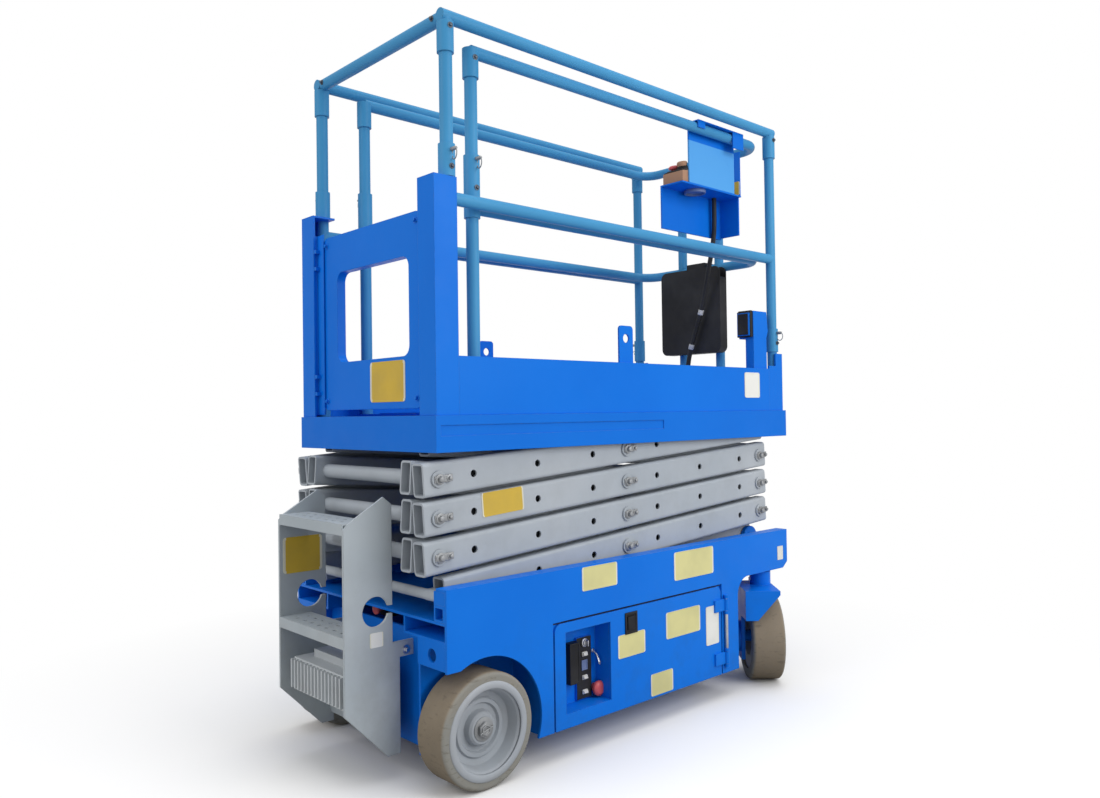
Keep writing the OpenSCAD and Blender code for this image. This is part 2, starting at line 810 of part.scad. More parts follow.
post_top_z = rail_top_z - rail_d / 2;
top_sleeve_z = 1946;
sleeve_l = 83;
socket_l = 88;

// Post with a sleeve under the top rail and a socket over the plate that holds it
module rail_post(x, y, z0, z1, sleeve_z, socket_z) {
    z_bar(x, y, rail_d / 2, z0, z1);
    z_bar(x, y, sleeve_d / 2, sleeve_z, sleeve_z + sleeve_l);
    z_bar(x, y, sleeve_d / 2, socket_z, socket_z + socket_l);
}

module main_rails() {
    front_socket_z = 1205;
    color(rail_blue) {
        both_sides() {
            rail_post(rear_post_x, rail_y, deck_z, post_top_z, top_sleeve_z, corner_top_z + 2);
            rail_post(front_post_x, rail_y, deck_z, post_top_z, top_sleeve_z, front_socket_z);
            translate([0, rail_y, post_top_z])
                x_bar(rear_post_x - rail_d / 2, front_post_x + rail_d / 2, rail_d / 2);
            translate([0, rail_y, mid_rail_z]) x_bar(rear_post_x, front_post_x, rail_d / 2);
        }
        y_bar(rear_post_x, post_top_z, rail_d / 2, -rail_y, rail_y);
    }
}

module entry_gate() {
    low = [-gate_hinge_y + 8, deck_z + 20];
    high = [gate_hinge_y - 14, gate_top_z];
    stile = [55, 80];
    color(blue) {
        cross_plate(gate_x - gate_t / 2, gate_t) difference() {
            round_rect(low, high, 20);
            round_rect([low[0] + stile[0], gate_window_low], [high[0] - stile[1], gate_window_top], 30);
        }
        for (z = gate_hinge_zs) difference() {
            union() {
                z_bar(gate_x, gate_hinge_y, gate_knuckle_r, z, z + gate_knuckle_h);
                block([gate_x - 8, gate_hinge_y - 16, z], [gate_x + 8, gate_hinge_y, z + gate_knuckle_h]);
            }
            z_bar(gate_x, gate_hinge_y, gate_pin_r + pin_play, z - 1, z + gate_knuckle_h + 1);
        }
    }
}

// Socket outlet on a stand inside the right toe board
module outlet_box() {
    box_x = front_corner_x - 88;
    box_l = 94;
    box_in = 63;
    box_zs = [1250, 1352];
    foot_y = toe_y - sheet_t - 1;
    stand_in = foot_y - ext_half - 2 * deck_gap;
    cap_l = 20;
    color(blue) {
        block([box_x, -foot_y, deck_z], [box_x + box_l - 10, -foot_y + stand_in, box_zs[0]]);
        side_plate(-foot_y, box_in) polygon([
            [box_x, box_zs[0]], [box_x + box_l - 12, box_zs[0]], [box_x + box_l, box_zs[0] + 30],
            [box_x + box_l - 8, box_zs[1]], [box_x, box_zs[1]]
        ]);
        block([box_x - cap_l, -foot_y + 6, box_zs[0] + 10], [box_x, -foot_y + box_in - 6, box_zs[1] - 8]);
    }
}

// Extension deck

ext_z = deck_z + running_gap;
ext_t = 6;
ext_top = ext_z + ext_t;
ext_lip_t = 4;
ext_end = platform_l - 12;
ext_post_x = extension_x + 22;
ext_rail_z = extension_top_z - rail_d / 2;
front_rail_x = ext_end - 24;
upright_y = 92;

module extension_floor() {
    side_lip = 60;
    front_lip = 150;
    mat_x = [extension_x + 47, ext_end - 180];
    mat_half = 250;
    mat_t = 3;
    color(blue) {
        block([mat_x[0], -mat_half, ext_top], [mat_x[1], mat_half, ext_top + mat_t]);
        block([extension_x, -ext_half, ext_z], [ext_end, ext_half, ext_top]);
        both_sides() block([extension_x, ext_half - ext_lip_t, ext_top],
                           [ext_end, ext_half, ext_z + side_lip]);
        block([ext_end - ext_lip_t, -ext_half + ext_lip_t, ext_top],
              [ext_end, ext_half - ext_lip_t, ext_z + front_lip]);
    }
}

module extension_hoop(z) {
    translate([0, 0, z]) {
        both_sides() {
            translate([0, extension_half, 0]) x_bar(ext_post_x, front_rail_x - bend_r, rail_d / 2);
            translate([front_rail_x - bend_r, extension_half - bend_r, 0]) rotate_extrude(angle = 90)
                translate([bend_r, 0]) circle(d = rail_d);
        }
        y_bar(front_rail_x, 0, rail_d / 2, -extension_half + bend_r, extension_half - bend_r);
    }
}

module extension_rails() {
    socket_z = 1530;
    low_socket = 90;
    color(rail_blue) {
        for (z = [ext_rail_z, mid_rail_z]) extension_hoop(z);
        both_sides() {
            rail_post(ext_post_x, extension_half, ext_top, ext_rail_z,
                      ext_rail_z - sleeve_l + 6, socket_z + socket_l);
            z_bar(ext_post_x, extension_half, sleeve_d / 2, socket_z, socket_z + socket_l);
            z_bar(front_rail_x, upright_y, rail_d / 2, ext_top, ext_rail_z);
            difference() {
                z_bar(front_rail_x, upright_y, sleeve_d / 2, ext_top, ext_top + low_socket);
                block([ext_end - ext_lip_t, upright_y - sleeve_d, ext_top - 1],
                      [ext_end + 1, upright_y + sleeve_d, ext_top + low_socket + 1]);
            }
        }
    }
}

// Hook over the front rail at height z
module rail_hook(y0, y1, z, low_z) {
    hook_t = 6;
    hook_back = 34;
    difference() {
        block([front_rail_x - hook_back, y0, low_z],
              [front_rail_x + rail_d / 2 + hook_t, y1, z + rail_d / 2 + hook_t]);
        y_bar(front_rail_x, z, rail_d / 2 + running_gap, y0 - 1, y1 + 1);
        block([front_rail_x - rail_d / 2 - running_gap, y0 - 1, low_z - 1],
              [front_rail_x + rail_d / 2 + hook_t + 1, y1 + 1, z]);
    }
}

cradle_x = front_rail_x - 440;
cradle_l = 356;
cradle_drop = 200;
cradle_h = 150;
cradle_z = ext_rail_z - cradle_drop;
cradle_low_z = cradle_z - cradle_h;
cradle_w = 102;
cradle_t = 6;
hanger_y = -extension_half + rail_d / 2 + 3;
cradle_far_y = hanger_y + cradle_w;

// Cradle of the platform controls, hung over the right rail of the sliding deck
module control_box() {
    hanger_x = [cradle_x + 40, cradle_x + 313];
    hook_y = -extension_half - rail_d / 2 - 5;
    hook_t = 4;
    tab_x = hanger_x[1] - 66;
    lip_l = 40;
    rail_top = ext_rail_z + rail_d / 2 + running_gap;
    console = [cradle_x + 14, cradle_x + 150];
    color(blue) {
        block([cradle_x, hanger_y, cradle_z], [cradle_x + cradle_l, cradle_far_y, cradle_z + cradle_t]);
        block([cradle_x, cradle_far_y - cradle_t, cradle_low_z],
              [cradle_x + cradle_l, cradle_far_y, cradle_z]);
        block([cradle_x + cradle_l - cradle_t, hanger_y + 10, cradle_low_z + 5],
              [cradle_x + cradle_l, cradle_far_y - cradle_t, cradle_z]);
        block([hanger_x[0], hanger_y, cradle_z + cradle_t],
              [hanger_x[1], hanger_y + cradle_t, rail_top + hook_t]);
        block([hanger_x[0], hook_y, rail_top], [hanger_x[1], hanger_y, rail_top + hook_t]);
        block([tab_x, hook_y, ext_rail_z - 40], [hanger_x[1], hook_y + hook_t, rail_top]);
        block([hanger_x[0], hook_y, ext_rail_z - 5], [hanger_x[0] + lip_l, hook_y + hook_t, rail_top]);
        side_plate(hanger_y + 2 * cradle_t, -hanger_y + cradle_far_y - 4 * cradle_t) polygon([
            [console[0], cradle_z + cradle_t], [console[1], cradle_z + cradle_t],
            [console[1], cradle_z + 70], [console[0], cradle_z + 46]
        ]);
    }
}

// Lead from the cradle down to the deck, in straight runs that lap at the bends
cable_r = 9;
cable_lap = 3;
module control_cable() {
    top_x = front_rail_x - 152;
    low_x = front_rail_x - 98;
    route = [
        [top_x, -185, cradle_z - cable_lap], [top_x, -185, cradle_low_z], [low_x, -78, 1385],
        [low_x, 0, 1190], [low_x, 0, ext_top + cable_lap]
    ];
    color(dark) for (k = [0 : len(route) - 2]) cable_run(route[k], route[k + 1]);
}

module cable_run(from, to) {
    way = to - from;
    translate(from) rotate([0, acos(way[2] / norm(way)), atan2(way[1], way[0])])
        translate([0, 0, -cable_lap]) cylinder(r = cable_r, h = norm(way) + 2 * cable_lap);
}

// Pocket for papers, hung on the front middle rail
module document_box() {
    box_x = front_rail_x - 74;
    box_t = 44;
    half = 148;
    wall = 4;
    box_zs = [1214, 1556];
    corner_r = 26;
    color(dark) {
        cross_plate(box_x, wall) round_rect([-half, box_zs[0]], [half, box_zs[1]], corner_r);
        cross_plate(box_x + box_t - wall, wall) round_rect([-half, box_zs[0]], [half, box_zs[1]], corner_r);
        cross_plate(box_x, box_t) difference() {
            round_rect([-half, box_zs[0]], [half, box_zs[1] - 30], corner_r);
            translate([-half + wall, box_zs[0] + corner_r])
                square([2 * half - 2 * wall, box_zs[1] - box_zs[0]]);
            translate([-half + corner_r, box_zs[0] + wall]) square([2 * half - 2 * corner_r, corner_r]);
        }
        rail_hook(-45, 45, mid_rail_z, mid_rail_z - 40);
    }
}

// Steered wheels

wheel_room = 25;
yoke_z = wheel_d + wheel_room;
yoke_t = 14;
yoke_low_z = wheel_d / 2 - 72;
yoke_half = 60;
yoke_plate_y = wheel_w / 2 + 12;
yoke_back = 148;
yoke_out = 40;
lever_pin_r = 10;
lever_half = 18;

// Frame of a steered wheel: kingpin on the Z axis, wheel in the XZ plane, inboard towards +Y
module at_kingpin(side)
    translate([front_axle_x, side * half_track, 0]) rotate([0, 0, steer_shown]) children();

module yoke_body() {
    motor_r = 56;
    motor_l = 60;
    housing_r = 38;
    z_bar(0, 0, kingpin_r, yoke_z, under_z - 13);
    z_bar(0, 0, housing_r, yoke_z, front_arch_z - 6);
    block([-yoke_half, -yoke_out, yoke_z], [yoke_half, yoke_plate_y + yoke_t, yoke_z + yoke_t]);
    block([-yoke_half, yoke_plate_y, yoke_low_z], [yoke_half, yoke_plate_y + yoke_t, yoke_z]);
    y_bar(0, wheel_d / 2, motor_r, yoke_plate_y + yoke_t, yoke_plate_y + yoke_t + motor_l);
    y_bar(0, wheel_d / 2, spindle_r, -30, yoke_plate_y);
}

// Arm that takes the tie rod, pointing forward
module steer_lever() {
    difference() {
        union() {
            block([0, -lever_half, yoke_z], [steer_arm, lever_half, yoke_z + yoke_t]);
            z_bar(steer_arm, 0, lever_half, yoke_z, yoke_z + yoke_t);
        }
        z_bar(steer_arm, 0, lever_pin_r + pin_play, yoke_z - 1, yoke_z + yoke_t + 1);
    }
}

module steer_yoke_right() {
    color(blue) at_kingpin(-1) {
        yoke_body();
        steer_lever();
        yoke_gusset();
    }
}

module steer_yoke_left() {
    color(blue) at_kingpin(1) {
        mirror([0, 1, 0]) {
            yoke_body();
            yoke_gusset();
        }
        steer_lever();
    }
}

// Web behind the wheel, from the top plate down to the inner plate
module yoke_gusset() {
    web_low_z = 240;
    web_t = 8;
    block([-yoke_back, -yoke_out, yoke_z], [-yoke_half, yoke_plate_y + yoke_t, yoke_z + yoke_t]);
    block([-yoke_back, yoke_plate_y, web_low_z], [-yoke_half, yoke_plate_y + yoke_t, yoke_z]);
    cross_plate(-yoke_back, web_t) polygon([
        [-yoke_out, yoke_z], [yoke_plate_y, yoke_z], [yoke_plate_y, web_low_z], [yoke_out, web_low_z]
    ]);
}

module tie_rod() {
    rod_z = yoke_z + yoke_t + 20;
    tie_r = 14;
    color(steel) {
        for (side = [-1, 1]) at_kingpin(side) z_bar(steer_arm, 0, lever_pin_r, yoke_z - 4, rod_z);
        translate([front_axle_x, 0, 0]) y_bar(steer_arm * cos(steer_shown), rod_z, tie_r,
            -half_track + steer_arm * sin(steer_shown), half_track + steer_arm * sin(steer_shown));
    }
}

// Wheels, drawn about the Y axis with the outer face towards -Y

module tyre() {
    side_r = 10;
    rotate([90, 0, 0]) rotate_extrude() difference() {
        translate([rim_d / 2, -wheel_w / 2]) square([(wheel_d - rim_d) / 2, wheel_w]);
        for (side = [-1, 1]) difference() {
            translate([wheel_d / 2 - side_r, side * (wheel_w / 2 - side_r / 2) - side_r / 2]) square(side_r);
            translate([wheel_d / 2 - side_r, side * (wheel_w / 2 - side_r)]) circle(side_r);
        }
    }
}

// Dished disc with a rolled flange, a raised ring and a hub
module rim() {
    rim_r = rim_d / 2;
    half_w = wheel_w / 2;
    bore_r = spindle_r + pin_play;
    dish_r = rim_r - 36;
    hub_r = rim_r - 72;
    rotate([90, 0, 0]) rotate_extrude() polygon([
        [bore_r, -30], [dish_r - 20, -30], [dish_r - 10, -half_w + 8],
        [rim_r, -half_w + 8], [rim_r, half_w - 4],
        [rim_r - 8, half_w - 4], [rim_r - 12, half_w - 10], [rim_r - 20, 18], [dish_r, 12], [dish_r - 4, 18],
        [dish_r - 14, 18], [dish_r - 18, 10], [hub_r + 4, 10], [hub_r, 26], [hub_r - 6, 32], [bore_r, 32]
    ]);
}

module rear_wheel_place(side) translate([rear_axle_x, side * half_track, wheel_d / 2]) children();
module front_wheel_place(side) at_kingpin(side) translate([0, 0, wheel_d / 2]) children();
module facing(side) rotate([0, 0, side < 0 ? 0 : 180]) children();

module tyre_rear_right() color(tyre_grey) rear_wheel_place(-1) facing(-1) tyre();
module tyre_rear_left() color(tyre_grey) rear_wheel_place(1) facing(1) tyre();
module tyre_front_right() color(tyre_grey) front_wheel_place(-1) facing(-1) tyre();
module tyre_front_left() color(tyre_grey) front_wheel_place(1) facing(1) tyre();
module rim_rear_right() color(rim_grey) rear_wheel_place(-1) facing(-1) rim();
module rim_rear_left() color(rim_grey) rear_wheel_place(1) facing(1) rim();
module rim_front_right() color(rim_grey) front_wheel_place(-1) facing(-1) rim();
module rim_front_left() color(rim_grey) front_wheel_place(1) facing(1) rim();

placed() chassis_deck();
placed() arm_lugs();
placed() chassis_side_right();
placed() chassis_side_left();
placed() chassis_core();
placed() rear_axle();
placed() entry_ladder();
placed() battery_charger();
placed() control_tray();
placed() power_unit();
placed() control_panel();
placed() battery_tray();
placed() battery_pack();
placed() inner_arm_1();
placed() inner_arm_2();
placed() inner_arm_3();
placed() inner_arm_4();
placed() outer_arm_1();
placed() outer_arm_2();
placed() outer_arm_3();
placed() outer_arm_4();
placed() cylinder_barrel();
placed() cylinder_rod();
placed() platform_floor();
placed() toe_boards();
placed() rear_corner_plates();
placed() front_corner_plates();
placed() main_rails();
placed() entry_gate();
placed() outlet_box();
placed() extension_floor();
placed() extension_rails();
placed() control_box();
placed() control_cable();
placed() document_box();
placed() steer_yoke_right();
placed() steer_yoke_left();
placed() tie_rod();
placed() tyre_rear_right();
placed() tyre_rear_left();
placed() tyre_front_right();
placed() tyre_front_left();
placed() rim_rear_right();
placed() rim_rear_left();
placed() rim_front_right();
placed() rim_front_left();
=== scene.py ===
"""Looks of a slab scissor lift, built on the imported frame."""
import math

import bpy
from mathutils import Matrix, Vector


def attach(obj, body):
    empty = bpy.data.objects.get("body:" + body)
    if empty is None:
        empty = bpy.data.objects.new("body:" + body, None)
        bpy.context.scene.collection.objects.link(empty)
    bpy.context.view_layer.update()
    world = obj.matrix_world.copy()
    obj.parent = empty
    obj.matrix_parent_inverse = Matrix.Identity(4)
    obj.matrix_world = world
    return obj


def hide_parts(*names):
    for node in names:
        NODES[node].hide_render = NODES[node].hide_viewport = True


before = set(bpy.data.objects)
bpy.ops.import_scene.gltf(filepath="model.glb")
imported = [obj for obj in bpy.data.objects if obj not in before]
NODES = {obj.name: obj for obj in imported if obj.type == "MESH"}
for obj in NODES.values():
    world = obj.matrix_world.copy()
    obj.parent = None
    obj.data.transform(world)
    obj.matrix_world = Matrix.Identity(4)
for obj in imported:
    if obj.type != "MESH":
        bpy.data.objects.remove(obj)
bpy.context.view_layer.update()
scene = bpy.context.scene
scene.view_settings.view_transform = "Standard"

RIGHT, LEFT, REAR, TOP, UNDER = (0, -1, 0), (0, 1, 0), (-1, 0, 0), (0, 0, 1), (0, 0, -1)
ACROSS = (0, 1, 0)
SIDES = ((-1, RIGHT), (1, LEFT))

# Sizes of the CAD model. Lengths are in millimetres, and x and z count as in at()

PLATFORM_REAR = 0.731  # metres from the platform's rear end to the origin
STEER_SHOWN = math.radians(46)
REST_TILT = math.radians(4.0155)
ARM_UP = (-math.sin(REST_TILT), 0, math.cos(REST_TILT))
REAR_POST_X, FRONT_POST_X, EXTENSION_POST_X = 66, 1590, 190
REAR_AXLE_X, FRONT_AXLE_X, AXLE_Z, WHEEL_Y = 129, 1460, 152.5, 350
GATE_FACE_X = 26
# Distance of an outer face from the middle plane
POST_FACE, EXTENSION_POST_FACE, DOOR_FACE, TOE_FACE, ARM_FACE, LADDER_FACE = 358, 306, 400, 360, 346, 185
# Lowest arms, and from one level to the next
ARM_BASE_Z, LEVEL_RISE, LEVELS = 408, 102, 4
ARM_REAR_X, ARM_MIDDLE_X, ARM_FRONT_X = 22, 748.5, 1475
SHELF_TOP_Z, SHELF_LOW_Z = 1806, 1800


def at(x, y, z):
    """A place in millimetres, counted from the platform's rear end, the middle and the floor."""
    return Vector((x / 1000 - PLATFORM_REAR, y / 1000, z / 1000))


def both_sides(y, *spots):
    """The (x, z) spots on the right face and on the left face."""
    return [(at(x, side * y, z), out) for side, out in SIDES for x, z in spots]


# Camera, solved from the parallel edges of chassis, platform and rails

CAMERA_PLACE = (-2.055, -2.2254, 0.985)
YAW, PITCH, ROLL = (math.radians(angle) for angle in (47.167, 0.891, -0.802))
SENSOR_WIDTH, LENS = 36, 28.842


def place_camera():
    ahead = Vector((math.cos(YAW) * math.cos(PITCH), math.sin(YAW) * math.cos(PITCH), math.sin(PITCH)))
    right = Vector((math.sin(YAW), -math.cos(YAW), 0))
    up = right.cross(ahead)
    right_rolled = right * math.cos(ROLL) + up * math.sin(ROLL)
    up_rolled = up * math.cos(ROLL) - right * math.sin(ROLL)
    turn = Matrix((right_rolled, up_rolled, -ahead)).transposed()
    bpy.ops.object.camera_add()
    camera = bpy.context.object
    camera.name = "photo_camera"
    camera.data.sensor_width = SENSOR_WIDTH
    camera.data.lens = LENS
    camera.matrix_world = Matrix.Translation(CAMERA_PLACE) @ turn.to_4x4()
    scene.camera = camera


# Materials

class Finish:
    """A material's node tree, written from left to right."""

    def __init__(self, name):
        self.material = bpy.data.materials.new(name)
        self.material.use_nodes = True
        self.tree = self.material.node_tree
        self.shader = self.tree.nodes["Principled BSDF"]
        coordinates = self.node("TexCoord")
        self.place = coordinates.outputs["Object"]
        self.normal = coordinates.outputs["Normal"]

    def node(self, kind, **settings):
        made = self.tree.nodes.new("ShaderNode" + kind)
        for key, value in settings.items():
            setattr(made, key, value)
        return made

    def link(self, start, end):
        self.tree.links.new(start, end)

    def drive(self, start, name):
        """Links a socket to an input of the shader."""
        self.link(start, self.shader.inputs[name])

    def noise(self, scale, detail=3, rough=0.5, stretch=None):
        made = self.node("TexNoise")
        made.inputs["Scale"].default_value = scale
        made.inputs["Detail"].default_value = detail
        made.inputs["Roughness"].default_value = rough
        source = self.place
        if stretch:
            mapping = self.node("Mapping")
            mapping.inputs["Scale"].default_value = stretch
            self.link(source, mapping.inputs["Vector"])
            source = mapping.outputs["Vector"]
        self.link(source, made.inputs["Vector"])
        return made.outputs["Fac"]

    def ramp(self, source, low, high, start=0.0, end=1.0):
        """Maps source from low..high to start..end, clamped."""
        made = self.node("MapRange")
        for socket, value in zip(("From Min", "From Max", "To Min", "To Max"), (low, high, start, end)):
            made.inputs[socket].default_value = value
        self.link(source, made.inputs["Value"])
        return made.outputs["Result"]

    def mix(self, amount, first, second):
        """Colour from first to second by amount. Each is a colour or a socket."""
        made = self.node("Mix", data_type="RGBA")
        self.link(amount, made.inputs["Factor"])
        for socket, value in ((made.inputs[6], first), (made.inputs[7], second)):
            if isinstance(value, tuple):
                socket.default_value = (*value, 1)
            else:
                self.link(value, socket)
        return made.outputs[2]

    def times(self, first, second):
        made = self.node("Math", operation="MULTIPLY")
        self.link(first, made.inputs[0])
        self.link(second, made.inputs[1])
        return made.outputs[0]

    def height(self):
        made = self.node("SeparateXYZ")
        self.link(self.place, made.inputs[0])
        return made.outputs["Z"]

    def bump(self, source, strength, distance, under=None):
        made = self.node("Bump")
        made.inputs["Strength"].default_value = strength
        made.inputs["Distance"].default_value = distance
        self.link(source, made.inputs["Height"])
        if under:
            self.link(under, made.inputs["Normal"])
        self.drive(made.outputs["Normal"], "Normal")

    def rounded(self, radius):
        """Normals that run round the sharp edges."""
        made = self.node("Bevel", samples=4)
        made.inputs["Radius"].default_value = radius
        return made.outputs["Normal"]

    def edges(self, rounded):
        """1 along the sharp edges, 0 on the faces between them."""
        flat = self.node("NewGeometry")
        alike = self.node("VectorMath", operation="DOT_PRODUCT")
        self.link(rounded, alike.inputs[0])
        self.link(flat.outputs["Normal"], alike.inputs[1])
        return self.ramp(alike.outputs["Value"], 0.97, 0.86)

    def tops(self):
        """1 on faces that look up."""
        parts = self.node("SeparateXYZ")
        self.link(self.normal, parts.inputs[0])
        return self.ramp(parts.outputs["Z"], 0.8, 0.95)

    def facing(self, axis):
        """1 on faces square to the axis, 0 on faces that run along it."""
        along = self.node("VectorMath", operation="DOT_PRODUCT")
        self.link(self.normal, along.inputs[0])
        along.inputs[1].default_value = axis
        size = self.node("Math", operation="ABSOLUTE")
        self.link(along.outputs["Value"], size.inputs[0])
        return self.ramp(size.outputs[0], 0.25, 0.8)

    def tread(self):
        """Raised lozenges of a grip deck, in crossed rows."""
        rows = []
        for turn, rows_wide in ((45, 14), (-45, 7)):
            mapping = self.node("Mapping")
            mapping.inputs["Rotation"].default_value = (0, 0, math.radians(turn))
            self.link(self.place, mapping.inputs["Vector"])
            wave = self.node("TexWave", wave_type="BANDS", bands_direction="X")
            wave.inputs["Scale"].default_value = rows_wide
            self.link(mapping.outputs["Vector"], wave.inputs["Vector"])
            rows.append(self.ramp(wave.outputs["Fac"], 0.62, 0.8))
        return self.times(*rows)

    def set(self, **values):
        for key, value in values.items():
            self.shader.inputs[key.replace("_", " ")].default_value = value


def tinted(colour, gain, lift=0.0):
    return tuple(channel * gain + lift for channel in colour)


def paint(name, colour, worn, dust, rough=0.36, dust_top=0.5, tread=False, band=None):
    """Sprayed enamel: slow drift of shade, orange peel, chipped edges, fine scuffs and dust near the floor.

    A band (low, high, reflection_tint) is a painted reflection: a paler colour between two heights, not a colour of
    the enamel.
    """
    f = Finish(name)
    drift = f.ramp(f.noise(2.4, 4), 0.35, 0.65)
    shade = f.mix(drift, colour, worn)
    # Painted reflection: a paler colour laid over the enamel between two heights.
    if band:
        low, high, reflection_tint = band
        fade = 0.002
        inside = f.times(f.ramp(f.height(), low, low + fade), f.ramp(f.height(), high, high - fade))
        shade = f.mix(inside, shade, reflection_tint)
    scuff = f.ramp(f.noise(55, 5, 0.7, (1, 1, 0.25)), 0.64, 0.74, 0, 0.22)
    shade = f.mix(scuff, shade, tinted(worn, 0.9, 0.03))
    soft = f.rounded(0.0025)
    chips = f.times(f.edges(soft), f.ramp(f.noise(38, 5, 0.7), 0.44, 0.62, 0.1, 0.6))
    shade = f.mix(chips, shade, tinted(worn, 0.7, 0.10))
    grime = f.times(f.ramp(f.height(), dust_top, 0.05), f.ramp(f.noise(9, 5, 0.65), 0.45, 0.8, 0, 0.4))
    f.drive(f.mix(grime, shade, dust), "Base Color")
    f.drive(f.ramp(f.noise(14, 4), 0.3, 0.7, rough - 0.06, rough + 0.1), "Roughness")
    if tread:
        f.bump(f.times(f.tread(), f.tops()), 0.8, 0.0025, soft)
    else:
        f.bump(f.noise(420, 2), 0.05, 0.0006, soft)
    f.set(Coat_Weight=0.03, Coat_Roughness=0.25, Specular_IOR_Level=0.11)
    return f.material


def bare_metal(name, colour, rough, metallic=1.0):
    """Turned or plated steel with fine brushing and dull patches."""
    f = Finish(name)
    patch = f.ramp(f.noise(18, 5, 0.6), 0.35, 0.7)
    f.drive(f.mix(patch, colour, tinted(colour, 0.72)), "Base Color")
    brushing = f.noise(60, 3, 0.5, (1, 6, 1))
    f.drive(f.ramp(brushing, 0.3, 0.7, rough - 0.08, rough + 0.12), "Roughness")
    f.bump(f.noise(300, 2, 0.5, (1, 8, 1)), 0.05, 0.0004)
    f.set(Metallic=metallic)
    return f.material


def rubber(name, colour, wall, axle):
    """Solid non-marking tyre rubber: tan tread, greyer side walls, dusty and scuffed, with fine pores."""
    f = Finish(name)
    shade = f.mix(f.facing(axle), colour, wall)
    shade = f.mix(f.ramp(f.noise(11, 6, 0.7), 0.38, 0.66, 0, 0.3), shade, tinted(colour, 1.35))
    smear = f.ramp(f.noise(34, 4, 0.6, (1, 1, 3)), 0.56, 0.72, 0, 0.55)
    f.drive(f.mix(smear, shade, tinted(colour, 0.5)), "Base Color")
    f.drive(f.ramp(f.noise(30, 3), 0.3, 0.7, 0.72, 0.92), "Roughness")
    f.bump(f.noise(170, 4, 0.6), 0.25, 0.0015, f.rounded(0.004))
    f.set(Specular_IOR_Level=0.25)
    return f.material


def plastic(name, colour, rough=0.5, grain=260):
    """Moulded plastic with a fine leather grain and faded patches."""
    f = Finish(name)
    fade = f.ramp(f.noise(7, 4), 0.4, 0.7)
    f.drive(f.mix(fade, colour, tinted(colour, 0.8, 0.02)), "Base Color")
    f.drive(f.ramp(f.noise(24, 3), 0.3, 0.7, rough - 0.08, rough + 0.1), "Roughness")
    f.bump(f.noise(grain, 2), 0.12, 0.0006)
    f.set(Specular_IOR_Level=0.3)
    return f.material


def foil(name, colour):
    return plastic(name, colour, 0.42, 500)


DUST = (0.022, 0.075, 0.21)
FRESH_BLUE, WORN_BLUE = (0.0015, 0.158, 0.70), (0.003, 0.175, 0.74)
# Painted reflection: the cradle's hanger plate gets a paler blue between these heights for the sky seen in its gloss.
# Its enamel is the same blue as the rest.
HANGER_REFLECTION = (1.806, 1.960, (0.095, 0.38, 0.82))
BLUE = paint("blue_enamel", FRESH_BLUE, WORN_BLUE, DUST)
CRADLE_BLUE_REFLECTED = paint("cradle_enamel_painted_reflection", FRESH_BLUE, WORN_BLUE, DUST, band=HANGER_REFLECTION)
DECK_BLUE = paint("deck_enamel", (0.0015, 0.150, 0.66), (0.003, 0.165, 0.70), DUST, 0.42, tread=True)
RAIL_BLUE = paint("rail_enamel", (0.055, 0.275, 0.53), (0.070, 0.315, 0.59), DUST)
ARM_GREY = paint("arm_paint", (0.38, 0.42, 0.465), (0.44, 0.475, 0.515), (0.17, 0.165, 0.16), 0.42, 1.2)
LADDER_GREY = paint("ladder_paint", (0.39, 0.44, 0.475), (0.45, 0.495, 0.525), (0.22, 0.21, 0.20), 0.45, 0.8)
CHARGER_GREY = paint("charger_paint", (0.52, 0.56, 0.59), (0.58, 0.61, 0.63), (0.28, 0.27, 0.26), 0.5)
RIM_GREY = paint("rim_paint", (0.34, 0.37, 0.405), (0.41, 0.43, 0.46), (0.24, 0.22, 0.19), 0.5, 0.4)
PIN_GREY = bare_metal("pin_zinc", (0.36, 0.37, 0.38), 0.5, 0.6)
DARK_ZINC = bare_metal("dark_zinc", (0.11, 0.13, 0.16), 0.45, 0.7)
STEEL = bare_metal("steel", (0.62, 0.63, 0.65), 0.34)
TREAD, WALL = (0.225, 0.185, 0.135), (0.245, 0.245, 0.225)
REAR_TYRE = rubber("rear_tyre_rubber", TREAD, WALL, ACROSS)
FRONT_TYRE = rubber("front_tyre_rubber", TREAD, WALL, (-math.sin(STEER_SHOWN), math.cos(STEER_SHOWN), 0))
YELLOW = foil("yellow_foil", (0.68, 0.46, 0.05))
CREAM = foil("cream_foil", (0.68, 0.64, 0.30))
LABEL_RIM = foil("pale_foil", (0.78, 0.76, 0.62))
WHITE = foil("white_foil", (0.80, 0.80, 0.76))
BLACK = plastic("black_plastic", (0.010, 0.010, 0.012))
PALE = plastic("pale_plastic", (0.66, 0.66, 0.64), 0.45)
GREY = plastic("grey_plastic", (0.14, 0.19, 0.36), 0.45)
RED = plastic("red_plastic", (0.62, 0.10, 0.11), 0.35)
BROWN = plastic("brown_grip", (0.42, 0.23, 0.14), 0.55)
# Near-black for the strip in the gap above each door: painted shade where the gap lies in shadow.
GAP_SHADE_BLACK = plastic("gap_shade_black", (0.016, 0.016, 0.017), 0.75, 120)
CABLE = plastic("cable_sheath", (0.014, 0.014, 0.015), 0.55)

# By a part of the node's name. The last that fits is used, and the others are blue
FINISHES = {
    "arm": ARM_GREY, "arm_lugs": BLUE, "ladder": LADDER_GREY, "charger": CHARGER_GREY, "rim": RIM_GREY,
    "tyre_rear": REAR_TYRE, "tyre_front": FRONT_TYRE, "floor": DECK_BLUE, "rails": RAIL_BLUE, "document": BLACK,
    "cylinder": STEEL, "tie_rod": STEEL, "power": BLACK, "pack": BLACK, "cable": CABLE, "control_box": CRADLE_BLUE_REFLECTED,
}


